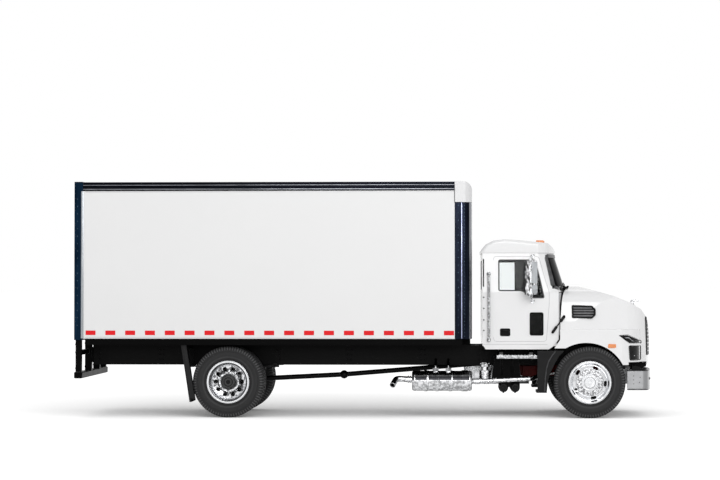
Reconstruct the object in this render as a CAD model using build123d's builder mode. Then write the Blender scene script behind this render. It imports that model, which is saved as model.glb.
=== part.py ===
"""Scale model of a conventional-cab box truck, in millimetres at the model's own size.

+X points to the nose, +Y to the truck's left side and +Z up.  The origin lies on the floor,
under the middle of the model's length and width.
"""

import os
from math import cos, radians, sin

from build123d import *

# ---------------------------------------------------------------- driving dimensions
tyre_radius = 15.5
wheelbase = 157.2
front_overhang = tyre_radius + 12.7     # front axle to the bumper's bow, with room for the tyre
rear_overhang = 67.4            # rear axle to the back of the guard
half_length = (front_overhang + wheelbase + rear_overhang) / 2
rear_axle_x = rear_overhang - half_length
front_axle_x = half_length - front_overhang

tyre_width = 8.2
rim_radius = 9.25               # over the rim's flange
bead_radius = 8.62              # of the rim's barrel, under the tyre
twin_spacing = 9.8              # between the two tyres of a rear pair, centre to centre
front_tyre_face = 35.3          # half the width over the front tyres
rear_tyre_face = 36.0           # half the width over the rear tyres
axle_z = tyre_radius

running_gap = 0.05              # radial, for a shaft in its bore
fit_gap = 0.05                  # between fixed pieces that fit one another
wall = 1.2                      # die-cast and moulded walls

deck_z = 2 * tyre_radius + 0.2  # top of the frame rails, just over the rear tyres
rail_depth = 8.9
rail_z = (deck_z - rail_depth, deck_z)
rail_face = 12.7                # outer face of a frame rail
rail_x = (4.9 - half_length, front_axle_x + 13.4)
rail_thickness = 1.0
rail_flange = 3.0

cab_back_x = front_axle_x - 46.4
cab_gap = 4.5                   # between the load box and the cab
box_x = (0.4 - half_length, cab_back_x - cab_gap)
box_half_width = 38.2
box_height = 68.4
box_z = (deck_z + 3.2, deck_z + 3.2 + box_height)
box_corner_radius = 3.9
post_x = box_x[1] - 7.5         # back edge of the front corner posts
rear_post_x = box_x[0] + 3.7    # front edge of the rear posts
rear_post_width = 3.65
floor_thickness = 1.6
roof_drop = 1.0                 # roof skin below the top of the rails
top_rail_height = 4.0
cap_bottom_z = box_z[1] - 9.1

door_thickness = 1.4
door_pin_radius = 0.4
door_pin_length = 1.0
door_pin_inset = 0.8            # pin axis from the door's hinge edge
sill_top_z = box_z[0] + 3.0
header_bottom_z = box_z[1] - 5.6
door_gap = 0.35

cab_front_x = front_axle_x - 13.3
cab_half_width = 32.5
cab_floor_z = deck_z - 1.4
belt_z = deck_z + 23.5
roof_seam_z = deck_z + 40.5

kingpin_y = front_tyre_face - 9.0
kingpin_radius = 0.7
spindle_radius = 1.0
steer_arm = 5.5
steer_pin_radius = 0.45
tie_rod_z = (axle_z - 3.5, axle_z - 2.6)

hood_hinge = (front_axle_x + 25.5, deck_z - 8.6)    # x and z of the hood's pivot
hood_hinge_radius = 0.55
fender_half_width = cab_half_width + 2.3
arch_centre = (front_axle_x - 1.5, axle_z - 0.6)
arch_radius = tyre_radius + 2.3

sides = (("left", 1), ("right", -1))

os.makedirs("parts", exist_ok=True)


# ---------------------------------------------------------------- small helpers
def keep(piece, label):
    """Label a finished piece and write it to its own file."""
    piece.label = label
    export_step(piece, f"parts/{label}.step")


def block(x, y, z, mode=Mode.ADD):
    """A box between two corners, in the open part; x, y and z are (low, high) pairs."""
    with Locations(((x[0] + x[1]) / 2, (y[0] + y[1]) / 2, (z[0] + z[1]) / 2)):
        Box(abs(x[1] - x[0]), abs(y[1] - y[0]), abs(z[1] - z[0]), mode=mode)


def rod(start, end, radius, mode=Mode.ADD):
    """A round bar between two points, in the open part."""
    run = Vector(*end) - Vector(*start)
    with BuildSketch(Plane(origin=start, z_dir=run)) as end_face:
        Circle(radius)
    extrude(end_face.sketch, amount=run.length, mode=mode)


def side_prism(outline, y, mode=Mode.ADD):
    """A closed (x, z) outline carried across the truck between two y values."""
    low, high = sorted(y)
    with BuildSketch(Plane(origin=(0, low, 0), x_dir=(1, 0, 0), z_dir=(0, -1, 0))) as profile:
        with BuildLine():
            Polyline(*outline, close=True)
        make_face()
    extrude(profile.sketch, amount=-(high - low), mode=mode)


def from_front(points):
    """(x, z) points that are given from the front axle's line and the top of the frame."""
    return [(front_axle_x + x, deck_z + z) for x, z in points]


def from_rear(points):
    """(x, z) points that are given from the rear axle's line and the top of the frame."""
    return [(rear_axle_x + x, deck_z + z) for x, z in points]


def mirrored(span, side):
    """A (low, high) pair of y values given for the left side, on the given side."""
    return tuple(sorted(side * y for y in span))


def turned(rows, side, face, centre):
    """Turn (radius, depth) rows about a wheel's axis; depth runs inward from the tyre's face."""
    x, z = centre
    with BuildSketch(Plane(origin=(x, 0, z), x_dir=(1, 0, 0), z_dir=(0, 0, 1))) as profile:
        with BuildLine():
            Polyline(*[(radius, side * (face - depth)) for radius, depth in rows], close=True)
        make_face()
    revolve(profile.sketch, axis=Axis((x, 0, z), (0, 1, 0)))


def side_plane(side, y, centre):
    """A plane facing out of one side of the truck, through an (x, z) centre."""
    return Plane(origin=(centre[0], side * y, centre[1]), x_dir=(-side, 0, 0), z_dir=(0, side, 0))


# ---------------------------------------------------------------- tyres and wheels
def tyre(side, face, centre):
    """One tyre: straight beads, bulged sidewalls, rounded shoulders and a flat tread."""
    x, z = centre
    bead = bead_radius + fit_gap
    near, far = face, face - tyre_width
    flange_depth = 1.0
    shoulder = tyre_radius - 0.55
    with BuildPart() as piece:
        with BuildSketch(Plane(origin=(x, 0, z), x_dir=(1, 0, 0), z_dir=(0, 0, 1))):
            with BuildLine():
                inner_low = (bead, side * (near - flange_depth))
                inner_high = (bead, side * (far + flange_depth))
                Line(inner_low, inner_high)
                Line(inner_high, (rim_radius + 0.1, side * (far + flange_depth)))
                ThreePointArc(
                    (rim_radius + 0.1, side * (far + flange_depth)),
                    (12.4, side * far),
                    (shoulder, side * (far + 0.75)),
                )
                ThreePointArc(
                    (shoulder, side * (far + 0.75)),
                    (tyre_radius - 0.12, side * (far + 1.2)),
                    (tyre_radius, side * (far + 1.9)),
                )
                Line((tyre_radius, side * (far + 1.9)), (tyre_radius, side * (near - 1.9)))
                ThreePointArc(
                    (tyre_radius, side * (near - 1.9)),
                    (tyre_radius - 0.12, side * (near - 1.2)),
                    (shoulder, side * (near - 0.75)),
                )
                ThreePointArc(
                    (shoulder, side * (near - 0.75)),
                    (12.4, side * near),
                    (rim_radius + 0.1, side * (near - flange_depth)),
                )
                Line((rim_radius + 0.1, side * (near - flange_depth)), inner_low)
            make_face()
        revolve(axis=Axis((x, 0, z), (0, 1, 0)))
    return piece.part


# rim sections, each row (radius, depth from the tyre's outer face)
rim_flanges = [
    (rim_radius, 0.45), (rim_radius, 0.95), (bead_radius, 0.95),
    (bead_radius, tyre_width - 0.95), (rim_radius, tyre_width - 0.95),
    (rim_radius, tyre_width - 0.45), (8.0, tyre_width - 0.45),
]
spindle_bore = spindle_radius + running_gap
front_rim_rows = (
    [(0, -0.2), (2.2, -0.2), (2.6, 0.2), (2.6, 0.9), (6.2, 1.0), (7.7, 1.7), (8.3, 0.9), (8.5, 0.45)]
    + rim_flanges
    + [(8.0, 3.2), (7.4, 2.7), (6.0, 2.1), (2.6, 2.1), (2.6, 5.4), (spindle_bore, 5.4),
       (spindle_bore, 1.0), (0, 1.0)]
)
hub_radius = 3.5
rear_dish_rows = (
    [(8.2, 0.9), (8.5, 0.45)]
    + rim_flanges
    + [(8.0, 5.9), (7.2, 5.2), (4.4, 6.2), (hub_radius + fit_gap, 6.2), (hub_radius + fit_gap, 5.2),
       (4.4, 5.2), (7.0, 4.2), (8.0, 4.8)]
)
drum_radius = 6.4
rear_stub_radius = 1.2
rear_hub_rows = [
    (0, 1.5), (2.5, 1.5), (3.1, 1.9), (hub_radius, 2.8), (hub_radius, 14.2), (drum_radius, 14.2),
    (drum_radius, 17.4), (2.4, 17.4), (2.4, 16.0), (rear_stub_radius + running_gap, 16.0),
    (rear_stub_radius + running_gap, 3.0), (0, 3.0),
]
hand_hole_front = (6.75, 5, -4)     # pitch radius, count, first angle
hand_hole_rear = (5.7, 10, 0)

front_centre = (front_axle_x, axle_z)
rear_centre = (rear_axle_x, axle_z)

for name, side in sides:
    keep(tyre(side, front_tyre_face, front_centre), f"front_{name}_tyre")

    with BuildPart() as front_wheel:
        turned(front_rim_rows, side, front_tyre_face, front_centre)
        with BuildSketch(side_plane(side, front_tyre_face + 1, front_centre)):
            radius, count, first = hand_hole_front
            with PolarLocations(radius, count, start_angle=first):
                SlotOverall(2.5, 1.35, rotation=90)
        extrude(amount=-5.0, mode=Mode.SUBTRACT)
    keep(front_wheel.part, f"front_{name}_wheel")

    with BuildPart() as twin_tyres:
        add(tyre(side, rear_tyre_face, rear_centre))
        add(tyre(side, rear_tyre_face - twin_spacing, rear_centre))
    keep(twin_tyres.part, f"rear_{name}_tyres")

    inner_rows = [(radius, twin_spacing + tyre_width - depth) for radius, depth in rear_dish_rows]
    with BuildPart() as twin_rims:
        turned(rear_dish_rows, side, rear_tyre_face, rear_centre)
        turned(inner_rows, side, rear_tyre_face, rear_centre)
        with BuildSketch(side_plane(side, rear_tyre_face, rear_centre)):
            radius, count, first = hand_hole_rear
            with PolarLocations(radius, count, start_angle=first):
                Circle(0.95)
        extrude(amount=-(twin_spacing + tyre_width), mode=Mode.SUBTRACT)
    with BuildPart() as rear_hub:
        turned(rear_hub_rows, side, rear_tyre_face, rear_centre)
    with BuildPart() as rear_wheels:
        add(twin_rims.part)
        add(rear_hub.part)
    keep(rear_wheels.part, f"rear_{name}_wheels")

# ---------------------------------------------------------------- axles and steering
beam_z = (axle_z - 3.9, axle_z - 1.6)
ear_z = (axle_z - 2.4, axle_z + 2.4)
ear_thickness = 1.1
knuckle_z = (ear_z[0] + ear_thickness + 0.1, ear_z[1] - ear_thickness - 0.1)
# the springs and their hangers share the bay between the rail and the inner rear tyre
spring_bay = rear_tyre_face - twin_spacing - tyre_width - rail_face
spring_half_spacing = rail_face + spring_bay * 22 / 53
spring_width = spring_bay * 26 / 53
hanger_plate = spring_bay * 6 / 53

with BuildPart() as front_axle:
    block((front_axle_x - 1.4, front_axle_x + 1.4), (-kingpin_y + 3.4, kingpin_y - 3.4), beam_z)
    for name, side in sides:
        neck = mirrored((kingpin_y - 3.4, kingpin_y - 2.2), side)
        block((front_axle_x - 1.4, front_axle_x + 1.4), neck, (beam_z[0], ear_z[1]))
        for low in (ear_z[0], ear_z[1] - ear_thickness):
            ear = mirrored((kingpin_y - 2.2, kingpin_y + 1.2), side)
            block((front_axle_x - 1.2, front_axle_x + 1.2), ear, (low, low + ear_thickness))
        king = side * kingpin_y
        rod((front_axle_x, king, ear_z[0]), (front_axle_x, king, ear_z[1] + 0.3), kingpin_radius)
        pad_half = spring_width / 2 + 0.3
        pad = mirrored((spring_half_spacing - pad_half, spring_half_spacing + pad_half), side)
        block((front_axle_x - 2.2, front_axle_x + 2.2), pad, (beam_z[1] - 0.2, beam_z[1] + 0.9))
keep(front_axle.part, "front_axle")

for name, side in sides:
    king = side * kingpin_y
    arm_x = front_axle_x - steer_arm
    arm_z = (tie_rod_z[1] + 0.25, tie_rod_z[1] + 1.25)
    with BuildPart() as knuckle:
        rod((front_axle_x, king, knuckle_z[0]), (front_axle_x, king, knuckle_z[1]), 1.7)
        rod((front_axle_x, king, axle_z),
            (front_axle_x, side * (front_tyre_face - 1.5), axle_z), spindle_radius)
        block((front_axle_x - 2.9, front_axle_x - 1.5), mirrored((kingpin_y - 0.7, kingpin_y + 0.7), side),
              (arm_z[0], knuckle_z[1]))
        block((arm_x, front_axle_x - 2.0), mirrored((kingpin_y - 0.7, kingpin_y + 0.7), side), arm_z)
        rod((arm_x, king, arm_z[1]), (arm_x, king, tie_rod_z[0] - 0.3), steer_pin_radius)
        rod((front_axle_x, king, knuckle_z[0] - 1), (front_axle_x, king, knuckle_z[1] + 1),
            kingpin_radius + running_gap, mode=Mode.SUBTRACT)
    keep(knuckle.part, f"{name}_knuckle")

with BuildPart() as tie_rod:
    rod_x = front_axle_x - steer_arm
    block((rod_x - 1.3, rod_x + 1.3), (-kingpin_y - 0.9, kingpin_y + 0.9), tie_rod_z)
    block((rod_x - 2, rod_x - 0.6), (-kingpin_y + 2.2, kingpin_y - 2.2),
          (tie_rod_z[0] - 1, tie_rod_z[1] + 1), mode=Mode.SUBTRACT)
    with BuildSketch(Plane.XY.offset(tie_rod_z[0] - 0.5)):
        with Locations((rod_x + 0.15, kingpin_y), (rod_x + 0.15, -kingpin_y)):
            SlotOverall(1.75, 1.2)
    extrude(amount=2, mode=Mode.SUBTRACT)
keep(tie_rod.part, "tie_rod")

rear_housing_radius = 1.9
hub_inner_y = rear_tyre_face - 17.4
with BuildPart() as rear_axle:
    rod((rear_axle_x, -hub_inner_y + 0.4, axle_z), (rear_axle_x, hub_inner_y - 0.4, axle_z),
        rear_housing_radius)
    rod((rear_axle_x, -rear_tyre_face + 3.4, axle_z), (rear_axle_x, rear_tyre_face - 3.4, axle_z),
        rear_stub_radius)
    with Locations((rear_axle_x, 0, axle_z)):
        Sphere(5.2)
    rod((rear_axle_x + 3, 0, axle_z), (rear_axle_x + 8.0, 0, axle_z), 2.2)
    for name, side in sides:
        pad_half = spring_width / 2 + 0.2
        pad = mirrored((spring_half_spacing - pad_half, spring_half_spacing + pad_half), side)
        block((rear_axle_x - 2.5, rear_axle_x + 2.5), pad, (axle_z, axle_z + 2.6))
keep(rear_axle.part, "rear_axle")

# leaf springs: axle x, seat z, half length, camber, leaves
springs = (
    ("front", front_axle_x, beam_z[1] + 0.9, 11.5, 2.4, 3),
    ("rear", rear_axle_x, axle_z + 2.6, 19.0, 1.6, 4),
)
leaf_thickness = 0.7
with BuildPart() as leaf_springs:
    for axle, x, seat_z, reach, camber, leaves in springs:
        for name, side in sides:
            y_span = mirrored((spring_half_spacing - spring_width / 2,
                               spring_half_spacing + spring_width / 2), side)
            plane = Plane(origin=(0, y_span[0], 0), x_dir=(1, 0, 0), z_dir=(0, -1, 0))
            for leaf in range(leaves):
                half = reach * (1 - 0.22 * (leaves - 1 - leaf))
                rise = camber * (half / reach) ** 2
                low = seat_z + leaf * leaf_thickness
                high = low + leaf_thickness
                with BuildSketch(plane):
                    with BuildLine():
                        ThreePointArc((x - half, low + rise), (x, low), (x + half, low + rise))
                        Line((x + half, low + rise), (x + half, high + rise))
                        ThreePointArc((x + half, high + rise), (x, high), (x - half, high + rise))
                        Line((x - half, high + rise), (x - half, low + rise))
                    make_face()
                extrude(amount=-spring_width)
            top = seat_z + leaves * leaf_thickness
            eye_z = top + camber - leaf_thickness / 2
            for end in (-1, 1):
                for radius, mode in ((0.95, Mode.ADD), (0.45 + running_gap, Mode.SUBTRACT)):
                    rod((x + end * reach, y_span[0], eye_z), (x + end * reach, y_span[1], eye_z),
                        radius, mode=mode)
keep(leaf_springs.part, "leaf_springs")

# ---------------------------------------------------------------- frame
bearer_front_x = front_axle_x + 16.0
crossmember_width = 3.0
rear_crossmembers = [rail_x[0] + 2.5, rear_axle_x - 33.0, rear_axle_x + 19.0, rear_axle_x + 51.0]
front_crossmembers = [front_axle_x - 74.2, front_axle_x - 48.2]
boss_radius = 3.0
screw_hole_radius = 1.25
rear_boss = (rear_crossmembers[1] + crossmember_width / 2, 0)
front_boss = (front_crossmembers[0] + crossmember_width / 2, 5.6)    # beside the driveshaft
hanger_pin_radius = 0.45
with BuildPart() as frame_rails:
    for name, side in sides:
        block(rail_x, mirrored((rail_face - rail_flange, rail_face), side), rail_z)
        block((rail_x[0] - 1, rail_x[1] + 1),
              mirrored((rail_face - rail_flange - 1, rail_face - rail_thickness), side),
              (rail_z[0] + rail_thickness, rail_z[1] - rail_thickness), mode=Mode.SUBTRACT)
        # spring hangers: a plate on the rail and a pin through the spring's eye
        for axle, x, seat_z, reach, camber, leaves in springs:
            eye_z = seat_z + leaves * leaf_thickness + camber - leaf_thickness / 2
            for end in (-1, 1):
                hanger_x = x + end * reach
                plate = mirrored((rail_face, rail_face + hanger_plate), side)
                block((hanger_x - 1.6, hanger_x + 1.6), plate, (eye_z - 0.9, rail_z[1] - 3))
                pin_ends = mirrored((rail_face, spring_half_spacing + spring_width / 2 + 0.5), side)
                rod((hanger_x, pin_ends[0], eye_z), (hanger_x, pin_ends[1], eye_z), hanger_pin_radius)
keep(frame_rails.part, "frame_rails")

with BuildPart() as crossmembers:
    member_end = rail_face - rail_thickness - fit_gap
    for x in rear_crossmembers + front_crossmembers:
        block((x, x + crossmember_width), (-member_end, member_end), (rail_z[0] + 2.6, rail_z[1] - 1.2))
    # two bosses take the display base's screws
    for x, y in (rear_boss, front_boss):
        rod((x, y, rail_z[0] + 0.3), (x, y, rail_z[1] - 1.3), boss_radius)
        rod((x, y, rail_z[0] - 2.0), (x, y, rail_z[1] - 2.5), screw_hole_radius, mode=Mode.SUBTRACT)
    # bearer across the front of the rails, which carries the radiator, bumper and hood hinges
    block((rail_x[1] + fit_gap, bearer_front_x), (-rail_face + 0.5, rail_face - 0.5),
          (rail_z[0], rail_z[0] + 3.4))
keep(crossmembers.part, "frame_crossmembers")

with BuildPart() as driveshaft:
    centre_bearing = (rear_axle_x + 49.0, 0, deck_z - 13.6)
    rod((rear_axle_x + 8.1, 0, axle_z), centre_bearing, 1.1)
    rod(centre_bearing, (front_axle_x - 38.4, 0, deck_z - 7.8), 1.1)
    with Locations(centre_bearing):
        Sphere(1.9)
keep(driveshaft.part, "driveshaft")

with BuildPart() as transmission:
    rod((front_axle_x - 38.2, 0, deck_z - 7.8), (front_axle_x - 34.2, 0, deck_z - 7.5), 2.4)
    block((front_axle_x - 35.2, front_axle_x - 13.0), (-6.0, 6.0), (deck_z - 13.7, deck_z - 2.2))
    block((front_axle_x - 28.2, front_axle_x - 22.2), (3.3 - rail_face, rail_face - 3.3),
          (deck_z - 14.2, deck_z - 9.3))
keep(transmission.part, "transmission")

with BuildPart() as engine:
    block((front_axle_x - 13.0 + fit_gap, front_axle_x + 9.8), (-7.0, 7.0), (deck_z - 11.7, deck_z + 10.3))
    block((front_axle_x - 11.2, front_axle_x + 6.8), (-5.5, 5.5), (deck_z + 10.3, deck_z + 13.8))
    rod((front_axle_x + 9.8, 0, deck_z - 4.2), (front_axle_x + 12.3, 0, deck_z - 4.2), 3.6)
    rod((front_axle_x + 9.8, 4.5, deck_z + 4.8), (front_axle_x + 11.8, 4.5, deck_z + 4.8), 2.2)
    block((front_axle_x - 11.2, front_axle_x + 4.8), (3.4 - rail_face, -7.0), (deck_z + 0.8, deck_z + 4.8))
    rod((front_axle_x - 10.2, -9.0, deck_z + 7.3), (front_axle_x - 4.2, -9.0, deck_z + 7.3), 2.4)
keep(engine.part, "engine")

with BuildPart() as radiator:
    block((bearer_front_x - 2.2, bearer_front_x), (-15.5, 15.5), (rail_z[0] + 3.4, deck_z + 10.8))
    block((bearer_front_x - 2.8, bearer_front_x - 2.2), (-9.4, 9.4), (deck_z - 3.2, deck_z + 8.8))
keep(radiator.part, "radiator")

# ---------------------------------------------------------------- exhaust and tanks
muffler_y = -rail_face - 14.3
muffler_z = deck_z - 15.3
muffler_radius = 4.4
muffler_x = (front_axle_x - 77.2, front_axle_x - 50.9)
with BuildPart() as muffler:
    rod((muffler_x[0], muffler_y, muffler_z), (muffler_x[1], muffler_y, muffler_z), muffler_radius)
    fillet(muffler.edges().filter_by(GeomType.CIRCLE), 1.0)
    for from_front_end, width in ((20.3, 1.3), (15.3, 1.3), (9.5, 1.3), (3.3, 2.6)):
        x = muffler_x[1] - from_front_end
        rod((x - width / 2, muffler_y, muffler_z), (x + width / 2, muffler_y, muffler_z),
            muffler_radius + 0.25)
    for x in (muffler_x[1] - 15.9, muffler_x[1] - 10.3):
        rod((x, muffler_y + 2, muffler_z + 3.4), (x, -rail_face - 0.3, rail_z[0] + 2.4), 0.6)
        block((x - 1.3, x + 1.3), (muffler_y - 1.4, muffler_y + 1.4),
              (muffler_z + 3.9, muffler_z + 5.6))
keep(muffler.part, "muffler")

pipe_radius = 1.0
tail_pipe_radius = 1.3
pipe_start = (muffler_x[1] + fit_gap, muffler_y, muffler_z - 0.3)
pipe_bend = (front_axle_x - 24.7, muffler_y, muffler_z + 0.9)
with BuildPart() as exhaust_pipe:
    with BuildLine():
        FilletPolyline(
            pipe_start,
            pipe_bend,
            (front_axle_x - 19.7, muffler_y + 10.0, muffler_z + 2.5),
            (front_axle_x - 13.8, -6.6, muffler_z + 3.1),
            radius=2.4,
        )
    with BuildSketch(Plane(origin=pipe_start, z_dir=Vector(*pipe_bend) - Vector(*pipe_start))):
        Circle(pipe_radius)
    sweep()

tail_start = (muffler_x[0] - fit_gap, muffler_y, muffler_z + 0.5)
tail_bend = (muffler_x[0] - 6.8, muffler_y, muffler_z + 0.9)
with BuildPart() as tail_pipe:
    with BuildLine():
        FilletPolyline(
            tail_start,
            tail_bend,
            (muffler_x[0] - 8.4, muffler_y - 5.0, muffler_z - 1.8),
            radius=1.9,
        )
    with BuildSketch(Plane(origin=tail_start, z_dir=Vector(*tail_bend) - Vector(*tail_start))):
        Circle(tail_pipe_radius)
        Circle(pipe_radius, mode=Mode.SUBTRACT)
    sweep()
with BuildPart() as exhaust_pipes:
    add(exhaust_pipe.part)
    add(tail_pipe.part)
keep(exhaust_pipes.part, "exhaust_pipes")

battery_x = (front_axle_x - 42.2, front_axle_x - 26.2)
battery_y = (6.9 - cab_half_width, -rail_face - fit_gap)      # outer face inside the cab steps
battery_z = (deck_z - 16.3, deck_z - 13.6)
with BuildPart() as battery_box:
    side_prism([(battery_x[0] + 1.2, rail_z[0] + 4), (battery_x[0], battery_z[1]),
                (battery_x[1] - 3.4, battery_z[1]), (battery_x[1] - 4.4, rail_z[0] + 4)], battery_y)
    block(battery_x, battery_y, battery_z)
keep(battery_box.part, "battery_box")

air_tank_radius = 2.0
air_tank_z = battery_z[0] - 2.05
with BuildPart() as air_tanks:
    for x in (battery_x[0] + 5.1, battery_x[0] + 10.2):
        rod((x, battery_y[0] - 0.4, air_tank_z), (x, battery_y[0] + 17.6, air_tank_z), air_tank_radius)
    fillet(air_tanks.edges().filter_by(GeomType.CIRCLE), 0.6)
    block((battery_x[0] + 3.0, battery_x[0] + 12.4), (battery_y[0] + 5.6, battery_y[0] + 9.6),
          (air_tank_z, battery_z[0] - fit_gap))
keep(air_tanks.part, "air_tanks")

dryer_x = front_axle_x - 45.3
dryer_y = -rail_face - 11.8
# canister sections from the bottom up, each row (z below the deck at its foot, at its top, radius)
dryer_rows = ((14.3, 10.8, 2.6), (10.8, 9.2, 1.6), (9.2, 8.0, 2.2))
with BuildPart() as air_dryer:
    for foot, top, radius in dryer_rows:
        rod((dryer_x, dryer_y, deck_z - foot), (dryer_x, dryer_y, deck_z - top), radius)
    block((dryer_x - 1.3, dryer_x + 0.4), (dryer_y + 1.5, -rail_face), (deck_z - 8.9, deck_z - 7.6))
keep(air_dryer.part, "air_dryer")

tank_x = (front_axle_x - 54.2, front_axle_x - 24.2)
tank_y = (cab_half_width - 12.5, cab_half_width + 0.5)
tank_z = (deck_z - 18.8, deck_z - 6.2)
with BuildPart() as fuel_tank:
    block(tank_x, tank_y, tank_z)
    fillet(fuel_tank.edges().filter_by(Axis.X), 3.4)
    for x in (tank_x[0] + 6.0, tank_x[1] - 6.0):
        block((x - 1.0, x + 1.0), (rail_face, tank_y[0] + 3), (rail_z[0] + 0.4, rail_z[0] + 2.4))
    filler = (tank_x[0] + 3.5, tank_y[0] + 4.0)
    rod((*filler, tank_z[1] - 1.0), (*filler, tank_z[1] + 1.6), 1.4)
keep(fuel_tank.part, "fuel_tank")

step_x = (front_axle_x - 40.3, front_axle_x - 22.7)
step_z = (deck_z - 5.4, deck_z - 4.0)
with BuildPart() as cab_steps:
    for name, side in sides:
        block(step_x, mirrored((cab_half_width - 5.0, cab_half_width + 0.5), side), step_z)
        for x in (step_x[0] + 2.1, step_x[1] - 2.5):
            block((x - 0.8, x + 0.8), mirrored((rail_face, cab_half_width - 3.5), side),
                  (step_z[1], step_z[1] + 1.2))
keep(cab_steps.part, "cab_steps")

splash_sheet = from_front([(-15.0, -1.8), (-14.0, -1.8), (-20.0, -20.2), (-23.0, -20.2), (-23.0, -19.2),
                           (-21.0, -19.0)])
splash_plate = from_front([(-22.6, -2.0), (-22.6, -20.2), (-18.6, -20.2), (-18.1, -15.0), (-16.8, -10.9),
                           (-14.9, -7.0), (-13.2, -4.3), (-11.2, -2.0)])
with BuildPart() as splash_panels:
    for name, side in sides:
        side_prism(splash_sheet, mirrored((rail_face + 8.3, cab_half_width + 1.7), side))
        side_prism(splash_plate, mirrored((cab_half_width + 0.9, cab_half_width + 1.7), side))
        block((front_axle_x - 17.2, front_axle_x - 14.2), mirrored((rail_face, rail_face + 8.8), side),
              (deck_z - 5.2, deck_z - 3.2))
keep(splash_panels.part, "splash_panels")

# ---------------------------------------------------------------- rear guard and mud flaps
guard_half_width = rear_tyre_face
guard_foot_z = deck_z - 14.2
guard_post_y = (guard_half_width - 3.0, guard_half_width - 0.8)
frame_foot = 0.6                # rear frame's sill below the walls
with BuildPart() as rear_guard:
    block((-half_length, -half_length + 3.6), (-guard_half_width, guard_half_width),
          (guard_foot_z, guard_foot_z + 2.8))
    fillet(rear_guard.edges().filter_by(Axis.Y), 0.5)
    post_z = (guard_foot_z + 2.5, box_z[0] - frame_foot)
    for name, side in sides:
        block((box_x[0] + 0.1, box_x[0] + 2.7), mirrored(guard_post_y, side), post_z)
        block((box_x[0] + 0.5, box_x[0] + 3.5), mirrored((rail_face - 2.6, rail_face), side), post_z)
        block((box_x[0] + 3.5, rail_x[0] - fit_gap), mirrored((rail_face - 2.2, rail_face - 0.4), side),
              (rail_z[0] + 1, rail_z[1] - 1))
    block((box_x[0] + 0.6, box_x[0] + 2.4), (-guard_post_y[1], guard_post_y[1]),
          (deck_z - 4.0, deck_z - 1.9))
keep(rear_guard.part, "rear_guard")

flap_top = (rear_axle_x - tyre_radius - 5.1, deck_z + 0.4)
flap_bottom = (flap_top[0] + 3.8, flap_top[1] - 1.6 * tyre_radius)
flap_y = (rear_tyre_face - 17.4, rear_tyre_face - 0.4)
flap_strap_y = (rear_tyre_face - 1.2, rear_tyre_face)
hanger_z = (deck_z - 1.6, deck_z + 0.6)
with BuildPart() as mud_flaps:
    for name, side in sides:
        side_prism([flap_top, (flap_top[0] + 0.8, flap_top[1]), (flap_bottom[0] + 0.8, flap_bottom[1]),
                    flap_bottom], mirrored(flap_y, side))
        # hangers: an arm out from the rail and a strap down the outer edge of the flap
        side_prism([(flap_top[0] + 0.7, hanger_z[1]), (flap_top[0] + 2.3, hanger_z[1]),
                    (flap_bottom[0] + 2.3, flap_bottom[1] + 1.5),
                    (flap_bottom[0] + 0.4, flap_bottom[1] + 1.5)], mirrored(flap_strap_y, side))
        block((flap_top[0] + 1.3, flap_top[0] + 2.3), mirrored((rail_face, rear_tyre_face), side), hanger_z)
keep(mud_flaps.part, "mud_flaps")

# ---------------------------------------------------------------- load box
inner_half_width = box_half_width - wall
front_inner_x = box_x[1] - wall
floor_z = (box_z[0], box_z[0] + floor_thickness)
sill_z = (rail_z[1], box_z[0])
bearer_count = 13
bearer_pitch = (box_x[1] - rear_post_x - 18.4) / (bearer_count - 1)
corner_inset = box_half_width - 5.7     # inner edge of the front corner posts' hollow
with BuildPart() as box_floor:
    floor_half = inner_half_width - fit_gap
    block((rear_post_x + fit_gap, front_inner_x - 5.0), (-floor_half, floor_half),
          floor_z)
    block((front_inner_x - 5.0, front_inner_x - fit_gap), (-corner_inset, corner_inset), floor_z)
    for name, side in sides:
        block((rear_post_x + 1.0, box_x[1] - 0.6), mirrored((rail_face - 3.4, rail_face - 0.2), side), sill_z)
        block((rear_post_x + 1.5, post_x + 3.2), mirrored((inner_half_width - 0.8, inner_half_width), side),
              (sill_z[1] - 2.8, sill_z[1]))
    for index in range(bearer_count):
        x = rear_post_x + 6.0 + index * bearer_pitch
        block((x, x + 1.6), (-inner_half_width, inner_half_width), (sill_z[1] - 2.4, sill_z[1]))
keep(box_floor.part, "box_floor")

rail_bottom_z = box_z[1] - top_rail_height
for name, side in sides:
    with BuildPart() as side_wall:
        block((rear_post_x + fit_gap, post_x - fit_gap), mirrored((inner_half_width, box_half_width), side),
              (box_z[0], rail_bottom_z - fit_gap))
    keep(side_wall.part, f"box_{name}_wall")

with BuildPart() as front_wall:
    front_half = box_half_width - 4.8
    block((front_inner_x, box_x[1]), (-front_half, front_half), (box_z[0], cap_bottom_z - fit_gap))
keep(front_wall.part, "box_front_wall")

roof_z = (box_z[1] - roof_drop - wall, box_z[1] - roof_drop)
with BuildPart() as box_roof:
    roof_half = inner_half_width - 1.0
    block((rear_post_x + fit_gap, post_x - fit_gap), (-roof_half, roof_half), roof_z)
keep(box_roof.part, "box_roof")

with BuildPart() as top_rails:
    for name, side in sides:
        block((rear_post_x + fit_gap, post_x - fit_gap),
              mirrored((inner_half_width, box_half_width + 0.2), side), (rail_bottom_z, box_z[1] - 0.2))
        block((rear_post_x + fit_gap, post_x - fit_gap),
              mirrored((roof_half + fit_gap, inner_half_width), side), (roof_z[0], box_z[1] - 0.2))
        for low in (rail_bottom_z + 1.1, rail_bottom_z + 2.3):
            block((rear_post_x, post_x), mirrored((box_half_width + 0.05, box_half_width + 0.5), side),
                  (low, low + 0.35), mode=Mode.SUBTRACT)
keep(top_rails.part, "box_top_rails")

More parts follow.
